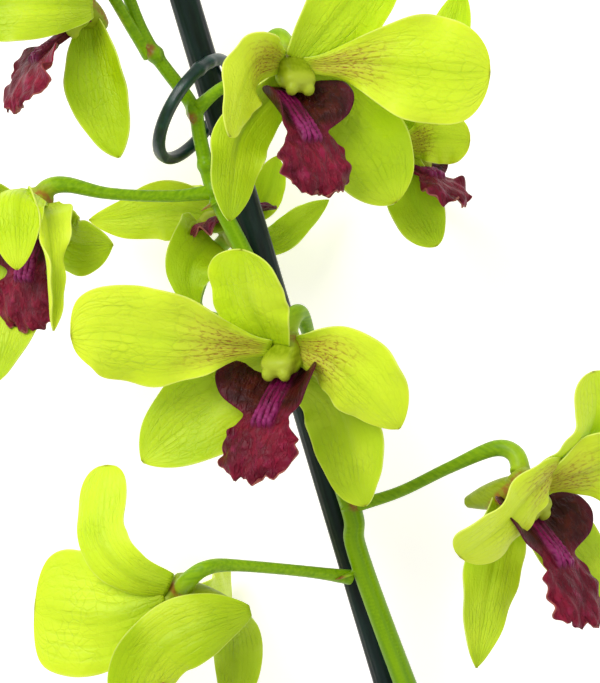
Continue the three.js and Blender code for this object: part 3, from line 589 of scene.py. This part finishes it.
def grown(name, shells, voxel):
    """Joins closed shells into one skin of even, smoothed faces; gives its vertices and faces."""
    vertices, faces, start = [], [], 0
    for points, polygons in shells:
        vertices.append(points)
        faces += [[corner + start for corner in polygon] for polygon in polygons]
        start += len(points)
    mesh = bpy.data.meshes.new(name)
    mesh.from_pydata(np.concatenate(vertices).tolist(), [], faces)
    shape = add_object(name, mesh)
    remesh = shape.modifiers.new("skin", "REMESH")
    remesh.mode = "VOXEL"
    remesh.voxel_size = voxel
    relax = shape.modifiers.new("relax", "SMOOTH")
    relax.iterations = SKIN_ROUNDS
    relax.factor = 0.5
    seen = shape.evaluated_get(bpy.context.evaluated_depsgraph_get())
    skin = bpy.data.meshes.new_from_object(seen)
    points = np.zeros(len(skin.vertices) * 3)
    skin.vertices.foreach_get("co", points)
    polygons = [list(polygon.vertices) for polygon in skin.polygons]
    bpy.data.objects.remove(shape)
    bpy.data.meshes.remove(mesh)
    bpy.data.meshes.remove(skin)
    return points.reshape(-1, 3), polygons


# Pieces of the object
def add_object(name, data):
    made = bpy.data.objects.new(name, data)
    bpy.context.scene.collection.objects.link(made)
    return made


def add_piece(name, vertices, faces, slot, places):
    """Adds a piece for the CAD node of the same name; places feed its material's patterns."""
    mesh = bpy.data.meshes.new(f"{name}_shape")
    points = (vertices - MIDDLE) * METRE
    mesh.from_pydata(points.tolist(), [], faces.tolist() if isinstance(faces, np.ndarray) else faces)
    for key, values in places.items():
        layer = mesh.attributes.new(key, "FLOAT_VECTOR", "POINT")
        layer.data.foreach_set("vector", values.astype(np.float32).ravel())
    mesh.polygons.foreach_set("use_smooth", np.ones(len(mesh.polygons), bool))
    mesh.materials.append(looks[slot])
    mesh.update()
    piece = add_object(f"fine_{name}", mesh)
    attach(piece, "root")
    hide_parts(name)


def pattern_rows(*parts):
    """Three arrays as one row of pattern coordinates for each vertex."""
    return np.stack(np.broadcast_arrays(*parts), -1).reshape(-1, 3)


def to_flower(flower, points):
    return points * flower["size"] + np.array(flower["at"])


def blade_kind(name, blade):
    """1 for a stained petal, 0.75 for a plain one, 0.5 for the dorsal sepal, 0 for a lateral one."""
    if "petal" in blade:
        return 0.75 if name in PLAIN_FLOWERS else 1.0
    return 0.5 if "dorsal" in blade else 0.0


def add_blade(name, flower, blade, seed):
    form = {**FORMS[blade], **flower[blade]}
    facing = turn_of(*flower["faces"])[:, 2]
    surface, places, thick = blade_surface(form, facing, np.random.default_rng(seed))
    vertices, faces = closed_sheet(to_flower(flower, surface), thick)
    leaf = pattern_rows(places[..., 0], places[..., 1], blade_kind(name, blade))
    add_piece(f"{name}_{blade}", vertices, faces, "blade", dict(leaf=np.tile(leaf, (2, 1))))


def add_lip(name, flower, seed):
    form = {**LIP, **flower["lip"]}
    surface, places, thick, zones = lip_surface(form, np.random.default_rng(seed))
    surface = surface @ turn_of(*form["faces"]).T
    vertices, faces = closed_sheet(to_flower(flower, surface), thick)
    layers = dict(leaf=places, zone=zones)
    layers = {key: np.tile(layer.reshape(-1, 3), (2, 1)) for key, layer in layers.items()}
    add_piece(f"{name}_lip", vertices, faces, "lip", layers)


def boxy(value):
    """Swells a circle's sine or cosine towards a rounded square's."""
    return np.sign(value) * np.abs(value) ** 0.68


def column_shells(flower):
    """The boxy hood, its two end lobes and the chin, in the flower's own frame."""
    low, high = np.array(COLUMN["low"], float), np.array(COLUMN["high"], float)
    length = norm(high - low)
    way = (high - low) / length
    up = unit(np.cross(way, [1.0, 0.0, 0.0]))
    across = np.cross(up, way)
    frame_of = np.stack([across, up, way], 1)
    q = np.concatenate([np.linspace(0, 0.88, 14), [0.93, 0.97, 0.993, 1.0]])
    angle = np.arange(36) * 2 * np.pi / 36
    end = np.sqrt(np.clip(1 - ((q - 0.84) / 0.17).clip(0) ** 2, 0.03, 1))
    wide, above, below = (along(COLUMN[key], q) * end for key in ("wide", "above", "below"))
    square = boxy(np.cos(angle)), boxy(np.sin(angle))
    height = np.where(np.sin(angle) > 0, above[:, None], below[:, None]) * square[1]
    rings = np.stack([wide[:, None] * square[0], height, q[:, None] * length + 0 * angle], -1)
    shells = [tube(low + rings @ frame_of.T)]
    for side in (-1, 1):
        for at, radii in (
            ([side * 1.8, -0.9, length - 0.3], [1.3, 1.5, 1.1]),
            ([side * 3.1, -1.4, length * 0.6], [0.8, 1.0, 2.2]),
        ):
            shells.append(egg(low + frame_of @ np.array(at), radii, frame_of))
    tip = np.array(flower.get("chin", CHIN["tip"]), float)
    shells.append(rod([[0, 0.4, 0], tip * 0.35, tip * 0.7, tip * 0.98], CHIN["radii"], 24, 20))
    return shells


def column_zone(flower, local, run):
    """Depth along the column, place along the stalk, and 1 on the stalk to 0 on the column and chin."""
    low = np.array(COLUMN["low"], float)
    way = unit(np.array(COLUMN["high"], float) - low)
    depth = (local - low) @ way
    body = 1 - smooth(*COLUMN_EDGE, norm(local - low - depth[:, None] * way, axis=1))
    stalk = 1 - body * smooth(-1.5, 0.5, depth)
    tip = np.array(flower.get("chin", CHIN["tip"]), float)
    out = (local @ unit(tip)).clip(0, norm(tip))
    chin = 1 - smooth(*CHIN_EDGE, norm(local - out[:, None] * unit(tip), axis=1))
    return np.stack([depth, run, stalk * (1 - chin * smooth(0.5, 3.0, out))], -1)


def add_column(name, flower):
    """The stalk, chin and column of a flower, as one grown piece."""
    turn = turn_of(*flower["faces"])
    shells = [(to_flower(flower, points @ turn.T), faces) for points, faces in column_shells(flower)]
    foot = to_flower(flower, np.array(COLUMN["low"]) @ turn.T)
    line = flower["pedicel"] + [foot.tolist()]
    shells.append(rod(line, PEDICEL_RADII, 20, 70))
    vertices, faces = grown(name, shells, COLUMN_VOXEL)
    local = (vertices - flower["at"]) @ turn / flower["size"]
    fine, _, length = spine(line, np.linspace(0, 1, STALK_STEPS))
    run = norm(vertices[:, None] - fine[None], axis=-1).argmin(1) / STALK_STEPS
    places = dict(
        grain=np.stack([local[:, 0] * 0.5, local[:, 1] * 0.5, run * length * 0.06], -1),
        zone=column_zone(flower, local, run),
    )
    add_piece(f"{name}_column", vertices, faces, "column", places)


def bract_shell(at, towards):
    """A small clasping scale, pointed and hollow towards the stem."""
    t = np.linspace(0, 1, 9)
    angle = np.arange(14) * 2 * np.pi / 14
    half = BRACT["width"] / 2 * (1 - t**1.6) ** 0.8 + 0.15
    thick = BRACT["thickness"] / 2 * (1 - 0.5 * t)
    rings = np.stack([
        half[:, None] * np.cos(angle),
        thick[:, None] * np.sin(angle),
        (t * BRACT["length"] - 1.0)[:, None] + 0 * angle,
    ], -1)
    return tube(np.array(at) + rings @ turn_to(towards).T)


def add_stem():
    """The flower stem with its nodes, bracts and closed buds."""
    shells = [rod(STEM["points"], STEM["radii"], 28, 260)]
    fine, _, length = spine(STEM["points"], np.linspace(0, 1, STEM_STEPS))
    for bract in BRACTS:
        shells.append(bract_shell(bract["at"], bract["towards"]))
    for flower in FLOWERS.values():
        root = fine[norm(fine - flower["pedicel"][0], axis=1).argmin()]
        shells.append(egg(root, STEM_NODE, np.eye(3)))
    for bud in BUDS:
        foot, elbow, tip = (np.array(bud[key], float) for key in ("foot", "elbow", "tip"))
        shells.append(rod([foot, elbow, tip], BUD_STALK, 16, 30))
        turn = turn_to(tip - elbow)
        reach = turn[:, 2] * bud["length"] / 2
        radii = [share * bud["radius"] for share in BUD_SHARES]
        shells.append(rod([tip - reach, tip, tip + reach], radii, 24, 24))
    vertices, faces = grown("rachis", shells, STEM_VOXEL)
    distance = norm(vertices[:, None] - fine[None], axis=-1)
    near = distance.argmin(1)
    off = unit(vertices - fine[near])
    run = near / STEM_STEPS
    grain = np.concatenate([off[:, :2] * 0.9, (run * length)[:, None] * 0.02], -1)
    scar = np.zeros(len(vertices))
    for bract in BRACTS:
        tip = np.array(bract["at"]) + unit(np.array(bract["towards"])) * BRACT["length"] * 0.45
        scar = np.maximum(scar, 1 - smooth(0.9, 1.9, norm(vertices - tip, axis=1)))
    bud_zone = smooth(3.0, 6.0, distance.min(1))
    zone = np.stack([scar, bud_zone, run], -1)
    add_piece("rachis", vertices, faces, "stem", dict(grain=grain, zone=zone))


def add_stake():
    """A round stake with fine ribs along it and rounded ends."""
    low, high = np.array(STAKE["low"]), np.array(STAKE["high"])
    body = np.linspace(0.008, 0.992, STAKE["rings"])
    t = np.concatenate([STAKE["foot_rings"], body, STAKE["top_rings"]])
    angle = np.arange(STAKE["sides"]) * 2 * np.pi / STAKE["sides"]
    end = np.minimum(t, 1 - t)
    radius = STAKE["radius"] * np.minimum(1, 0.72 + 0.28 * np.sqrt(np.clip(end / 0.006, 0, 1)))
    rib = 0.022 * np.cos(16 * angle)[None, :] + 0.03 * np.cos(5 * angle + 1.3)[None, :]
    knot = 0.05 * np.sin(70 * t)[:, None] * np.cos(3 * angle)[None, :]
    reach = radius[:, None] - 0.08 + rib + knot
    ring = np.stack([np.cos(angle), np.sin(angle), 0 * angle], -1) @ turn_to(high - low).T
    line = low + (high - low) * t[:, None]
    vertices, faces = tube(line[:, None] + ring * reach[..., None])
    grain = pattern_rows(np.cos(angle)[None], np.sin(angle)[None], t[:, None] * 14)
    add_piece("stake", vertices, faces, "stake", dict(grain=grain))


def add_tie():
    """The ring tie: a moulded strand, a little flattened, with a small catch."""
    centre, long, wide = (np.array(TIE[key], float) for key in ("centre", "along", "across"))
    steps, sides = TIE["steps"], TIE["sides"]
    axis = unit(np.cross(long, wide))
    around = np.arange(steps) * 2 * np.pi / steps
    tubular = np.arange(sides) * 2 * np.pi / sides
    line = centre + np.cos(around)[:, None] * long + np.sin(around)[:, None] * wide
    way = unit(-np.sin(around)[:, None] * long + np.cos(around)[:, None] * wide)
    outward = np.cross(way, axis)
    square = (np.abs(np.cos(tubular)) ** 3 + np.abs(np.sin(tubular)) ** 3) ** (-1 / 3)
    catch = np.ones(steps)
    for place, width, rise in TIE["catches"]:
        catch = catch + rise * np.exp(-(((around - place) / width) ** 2))
    radius = TIE["radius"] * catch
    rings = (
        line[:, None]
        + outward[:, None] * (square * np.cos(tubular))[:, None] * (TIE["flat"] * radius)[:, None, None]
        + axis * (square * np.sin(tubular))[:, None] * radius[:, None, None]
    )
    index = np.arange(steps * sides).reshape(steps, sides)
    ahead, up = np.roll(index, -1, axis=1), np.roll(index, -1, axis=0)
    faces = np.stack([index, ahead, np.roll(up, -1, axis=1), up], -1).reshape(-1, 4)
    grain = pattern_rows(np.cos(tubular)[None], np.sin(tubular)[None], around[:, None])
    add_piece("tie_ring", rings.reshape(-1, 3), faces, "tie", dict(grain=grain))


# Materials
def colour(code):
    """A colour code as linear red, green, blue and alpha."""
    parts = [int(code[i:i + 2], 16) / 255 for i in (1, 3, 5)]
    return tuple(p / 12.92 if p <= 0.04045 else ((p + 0.055) / 1.055) ** 2.4 for p in parts) + (1.0,)


class Look:
    """A material of nodes; each method adds one node and gives its output."""

    def __init__(self, name, roughness, **sockets):
        self.palette = PALETTE[name]
        self.material = bpy.data.materials.new(name)
        self.material.use_nodes = True
        self.tree = self.material.node_tree
        self.shader = self.tree.nodes["Principled BSDF"]
        self.feed(self.shader.inputs["Roughness"], roughness)
        for key, value in sockets.items():
            self.feed(self.shader.inputs[key.replace("_", " ")], value)

    def feed(self, socket, value):
        """Links a socket, or sets it to a value or to a colour of the palette."""
        if isinstance(value, bpy.types.NodeSocket):
            self.tree.links.new(value, socket)
        else:
            socket.default_value = colour(self.palette[value]) if isinstance(value, str) else value

    def node(self, kind, values, **settings):
        made = self.tree.nodes.new(kind)
        for key, value in settings.items():
            setattr(made, key, value)
        for key, value in values.items():
            self.feed(made.inputs[key], value)
        return made

    def math(self, operation, a, b=0.0):
        return self.node("ShaderNodeMath", {0: a, 1: b}, operation=operation).outputs[0]

    def times(self, a, b):
        return self.math("MULTIPLY", a, b)

    def plus(self, a, b):
        return self.math("ADD", a, b)

    def ramp(self, value, low, high, start=0.0, end=1.0):
        """start below low and end above high, with a smooth change between."""
        return self.node(
            "ShaderNodeMapRange",
            {"Value": value, "From Min": low, "From Max": high, "To Min": start, "To Max": end},
            interpolation_type="SMOOTHSTEP",
        ).outputs[0]

    def mix(self, factor, a, b, mode="MIX"):
        made = self.node("ShaderNodeMix", {}, data_type="RGBA", blend_type=mode)
        for socket, value in zip((made.inputs[0], made.inputs[6], made.inputs[7]), (factor, a, b)):
            self.feed(socket, value)
        return made.outputs[2]

    def layer(self, name):
        made = self.node("ShaderNodeAttribute", {}, attribute_name=name, attribute_type="GEOMETRY")
        return made.outputs["Vector"]

    def split(self, vector):
        return self.node("ShaderNodeSeparateXYZ", {0: vector}).outputs[:3]

    def spread(self, x, x_scale, y, y_scale, z=0.0):
        """A pattern's coordinates, with x and y times their scales."""
        parts = {0: self.times(x, x_scale), 1: self.times(y, y_scale), 2: z}
        return self.node("ShaderNodeCombineXYZ", parts).outputs[0]

    def place(self):
        return self.node("ShaderNodeTexCoord", {}).outputs["Object"]

    def noise(self, vector, scale, detail=3.0):
        """Noise; on an object's places its scale is in cells per metre."""
        values = {"Vector": vector, "Scale": scale, "Detail": detail}
        return self.node("ShaderNodeTexNoise", values).outputs[0]

    def net(self, vector, scale):
        """Distance to the nearest edge of a net of cells."""
        return self.node(
            "ShaderNodeTexVoronoi", {"Vector": vector, "Scale": scale}, feature="DISTANCE_TO_EDGE"
        ).outputs[0]

    def finish(self, base, depth, *heights):
        """Sets the base colour, and a bump of a depth in metres from heights with their weights."""
        self.feed(self.shader.inputs["Base Color"], base)
        height = reduce(self.plus, [self.times(value, weight) for value, weight in heights])
        bump = self.node("ShaderNodeBump", {"Height": height, "Distance": depth, "Strength": 1.0})
        self.feed(self.shader.inputs["Normal"], bump.outputs[0])
        return self.material


def veins(look, s, t, warp, count):
    """Long veins that fan out from a blade's base, and the net between them."""
    bent = look.plus(s, look.times(look.math("SUBTRACT", warp, 0.5), 0.2))
    wave = look.math("COSINE", look.times(bent, 2 * math.pi * count))
    lines = look.ramp(wave, 0.3, 1.0)
    cells = look.net(look.spread(bent, 6.0, t, 14.0), 1.0)
    mesh = look.ramp(cells, 0.0, 0.13, 1.0, 0.0)
    return lines, mesh


def blade_look():
    look = Look(
        "blade", 0.46, Subsurface_Weight=0.3, Subsurface_Scale=0.0018,
        Subsurface_Radius=(0.8, 1.0, 0.05), Specular_IOR_Level=0.22,
    )
    s, t, kind = look.split(look.layer("leaf"))
    spot = look.place()
    warp = look.noise(look.spread(s, 1.2, t, 2.4, kind), 1.4)
    broad = look.noise(spot, 60.0, 2.0)
    lines, mesh = veins(look, s, t, warp, 5.5)
    side = look.math("ABSOLUTE", s)
    dorsal = look.ramp(kind, 0.1, 0.4)
    petal = look.ramp(kind, 0.55, 0.7)
    base = look.mix(dorsal, "lateral", "dorsal")
    base = look.mix(petal, base, "petal")
    base = look.mix(look.ramp(broad, 0.35, 0.7, 0.0, 0.5), base, "light")
    base = look.mix(look.ramp(t, 0.0, 0.42, 0.6, 0.0), base, "base")
    # Painted shade: darker green down each blade's middle, strongest towards its base, standing in for the
    # shade in the midline groove.
    middle = look.times(look.ramp(side, 0.0, 0.3, 1.0, 0.0), look.ramp(t, 0.1, 0.9, 1.0, 0.2))
    base = look.mix(look.times(middle, 0.4), base, "midline_shade")
    fade = look.ramp(side, 0.6, 1.0, 1.0, 0.35)
    patch = look.ramp(look.noise(spot, 110.0, 1.0), 0.35, 0.65, 0.35, 1.0)
    vein = look.plus(look.times(lines, 0.42), look.times(mesh, 0.42))
    vein = look.times(vein, look.times(fade, patch))
    base = look.mix(look.times(vein, 0.24), base, "vein")
    reach = look.times(look.ramp(t, 0.01, 0.08), look.ramp(t, 0.22, 0.56, 1.0, 0.0))
    reach = look.times(reach, look.ramp(side, 0.4, 0.95, 1.0, 0.0))
    reach = look.times(reach, look.ramp(kind, 0.8, 0.95))
    base = look.mix(look.times(reach, 0.5), base, "stain")
    dashes = look.noise(look.spread(s, 16.0, t, 34.0), 1.0)
    broken = look.ramp(dashes, 0.44, 0.6)
    brown = look.math("MAXIMUM", lines, look.times(mesh, 0.8))
    brown = look.times(brown, look.times(reach, broken))
    base = look.mix(look.times(brown, 0.85), base, "dash")
    base = look.mix(look.ramp(side, 0.955, 1.0, 0.0, 0.4), base, "margin")
    tip = look.times(look.ramp(t, 0.982, 1.0), look.ramp(side, 0.0, 0.7, 0.8, 0.2))
    base = look.mix(tip, base, "tip")
    grain = look.noise(spot, 2400.0, 1.0)
    quilt = look.noise(spot, 420.0, 2.0)
    return look.finish(base, 0.00025, (grain, 0.12), (vein, -0.6), (quilt, 0.9))


def lip_look():
    look = Look(
        "lip", 0.44, Subsurface_Weight=0.06, Subsurface_Scale=0.001,
        Subsurface_Radius=(1.0, 0.15, 0.35), Specular_IOR_Level=0.18,
    )
    s, t, wide = look.split(look.layer("leaf"))
    band, ridge, crest = look.split(look.layer("zone"))
    spot = look.place()
    side = look.math("ABSOLUTE", s)
    warp = look.noise(look.spread(s, 1.0, t, 2.0), 2.5)
    _, mesh = veins(look, s, t, warp, 7.5)
    mottle = look.noise(spot, 460.0)
    cloud = look.noise(spot, 130.0, 2.0)
    lobe = look.mix(look.ramp(mottle, 0.35, 0.7), "lobe_dark", "lobe")
    lobe = look.mix(look.ramp(side, 0.8, 1.0, 0.0, 0.6), lobe, "lobe_edge")
    front = look.mix(look.ramp(cloud, 0.3, 0.7), "front_dark", "front")
    front = look.mix(look.ramp(mottle, 0.5, 0.75, 0.0, 0.45), front, "mottle")
    base = look.mix(look.ramp(t, 0.4, 0.54), lobe, front)
    # Painted shade: irregular dark creases across the lip stand in for the shading of its ruffles, with a
    # faint darkening along the vein net added; the same creases also dent the bump.
    shaded_crease = look.noise(look.spread(wide, 13.0, t, 11.0), 1.0)
    shaded_crease = look.ramp(shaded_crease, 0.42, 0.58)
    dark = look.plus(look.times(shaded_crease, 0.34), look.times(mesh, 0.06))
    base = look.mix(dark, base, "shaded_crease")
    streak = look.noise(look.spread(wide, 34.0, t, 4.0), 1.0)
    glow = look.mix(look.ramp(streak, 0.38, 0.62), "band_dark", "band")
    base = look.mix(look.times(band, 0.95), base, glow)
    pale = look.times(ridge, look.plus(look.times(crest, 0.7), 0.15))
    base = look.mix(pale, base, "ridge")
    rim = look.times(look.ramp(side, 0.96, 1.0), look.ramp(t, 0.6, 0.85))
    rim = look.math("MAXIMUM", rim, look.ramp(t, 0.985, 1.0))
    base = look.mix(look.times(rim, 0.55), base, "rim")
    return look.finish(base, 0.0004, (mottle, 0.9), (shaded_crease, -0.5))


def column_look():
    look = Look(
        "column", 0.42, Subsurface_Weight=0.15, Subsurface_Scale=0.0012,
        Subsurface_Radius=(0.8, 1.0, 0.2), Specular_IOR_Level=0.2, Coat_Weight=0.02, Coat_Roughness=0.25,
    )
    depth, run, stalk = look.split(look.layer("zone"))
    grain = look.layer("grain")
    streak = look.noise(grain, 3.0)
    spot = look.place()
    speck = look.noise(spot, 900.0, 2.0)
    post = look.mix(look.ramp(streak, 0.3, 0.7), "hood_dark", "hood")
    post = look.mix(look.ramp(depth, 6.2, 8.6), post, "cap")
    ring = look.times(look.ramp(depth, 0.4, 1.4), look.ramp(depth, 2.2, 3.2, 1.0, 0.0))
    post = look.mix(look.times(ring, look.ramp(speck, 0.4, 0.6, 0.25, 0.8)), post, "ring")
    stem = look.mix(look.ramp(streak, 0.2, 0.8), "stalk_dark", "stalk")
    stem = look.mix(look.ramp(run, 0.8, 0.93, 0.0, 0.7), stem, "stalk_end")
    base = look.mix(stalk, post, stem)
    return look.finish(base, 0.00025, (streak, 0.35), (speck, 0.2))


def stem_look():
    look = Look(
        "stem", 0.34, Subsurface_Weight=0.06, Subsurface_Scale=0.0012,
        Subsurface_Radius=(0.6, 1.0, 0.2), Specular_IOR_Level=0.16, Coat_Weight=0.02, Coat_Roughness=0.25,
    )
    scar, bud, _ = look.split(look.layer("zone"))
    grain = look.layer("grain")
    spot = look.place()
    streak = look.noise(grain, 2.2, 2.0)
    speck = look.noise(spot, 1500.0, 2.0)
    base = look.mix(look.ramp(streak, 0.2, 0.8), "dark", "light")
    base = look.mix(look.times(look.ramp(speck, 0.64, 0.74), 0.3), base, "speck")
    base = look.mix(bud, base, "bud")
    mark = look.times(scar, look.ramp(speck, 0.3, 0.6, 0.5, 1.0))
    base = look.mix(mark, base, "scar")
    return look.finish(base, 0.0003, (streak, 0.3), (speck, 0.12))


def stake_look():
    look = Look("stake", 0.45, Specular_IOR_Level=0.22, Coat_Weight=0.02, Coat_Roughness=0.3)
    grain = look.layer("grain")
    spot = look.place()
    streak = look.noise(grain, 2.0)
    speck = look.noise(spot, 1200.0)
    base = look.mix(look.ramp(streak, 0.3, 0.7), "dark", "light")
    base = look.mix(look.ramp(speck, 0.66, 0.82, 0.0, 0.25), base, "speck")
    return look.finish(base, 0.0003, (streak, 0.5), (speck, 0.25))


def tie_look():
    look = Look("tie", 0.32, Specular_IOR_Level=0.4, Coat_Weight=0.1, Coat_Roughness=0.2)
    grain = look.layer("grain")
    spot = look.place()
    wear = look.noise(spot, 350.0, 4.0)
    speck = look.noise(grain, 6.0)
    base = look.mix(look.ramp(wear, 0.4, 0.7), "dark", "light")
    return look.finish(base, 0.0003, (wear, 0.3), (speck, 0.2))


def floor_look():
    """Plain white, with a glow of its own so that shadows stay faint."""
    look = Look("floor", 0.8, Specular_IOR_Level=0.1, Emission_Strength=0.42)
    look.feed(look.shader.inputs["Emission Color"], "glow")
    cloud = look.noise(look.place(), 3.0, 2.0)
    base = look.mix(cloud, "dark", "light")
    return look.finish(base, 0.0, (cloud, 1.0))


# Floor, light and camera
def add_floor():
    mesh = bpy.data.meshes.new("floor_shape")
    signs = [(-1, -1), (1, -1), (1, 1), (-1, 1)]
    mesh.from_pydata([(x * FLOOR_HALF, y * FLOOR_HALF, 0) for x, y in signs], [], [(0, 1, 2, 3)])
    mesh.materials.append(floor_look())
    add_object("floor", mesh)


def add_lamp(name, place, target, size, power):
    light = bpy.data.lights.new(name, "AREA")
    light.shape = "DISK"
    light.size = size
    light.energy = power
    lamp = add_object(name, light)
    lamp.location = place
    way = np.array(target, float) - np.array(place, float)
    lamp.rotation_mode = "QUATERNION"
    lamp.rotation_quaternion = Vector(way).to_track_quat("-Z", "Y")


def add_light():
    world = bpy.data.worlds.new("studio")
    world.use_nodes = True
    background = world.node_tree.nodes["Background"]
    background.inputs["Color"].default_value = SKY["colour"]
    background.inputs["Strength"].default_value = SKY["strength"]
    bpy.context.scene.world = world
    bpy.context.scene.view_settings.view_transform = "Standard"
    for lamp in LAMPS:
        add_lamp(**lamp)


def add_camera():
    """Straight down, centred on the photograph's middle."""
    data = bpy.data.cameras.new("camera")
    data.sensor_fit = "AUTO"
    data.sensor_width = CAMERA["sensor"]
    data.lens = CAMERA["sensor"] * CAMERA["clear"] / CAMERA["view"]
    data.clip_start = 0.05
    data.clip_end = 20.0
    camera = add_object("camera", data)
    camera.location = (-MIDDLE[0] * METRE, -MIDDLE[1] * METRE, CAMERA["height"] * METRE)
    bpy.context.scene.camera = camera


looks = dict(
    blade=blade_look(), lip=lip_look(), column=column_look(),
    stem=stem_look(), stake=stake_look(), tie=tie_look(),
)
add_camera()
add_light()
add_floor()
add_stake()
add_stem()
add_tie()
for number, (name, flower) in enumerate(FLOWERS.items()):
    seed = SEEDS_EACH * number
    add_column(name, flower)
    add_lip(name, flower, seed)
    for place, blade in enumerate(FORMS):
        add_blade(name, flower, blade, seed + 1 + place)
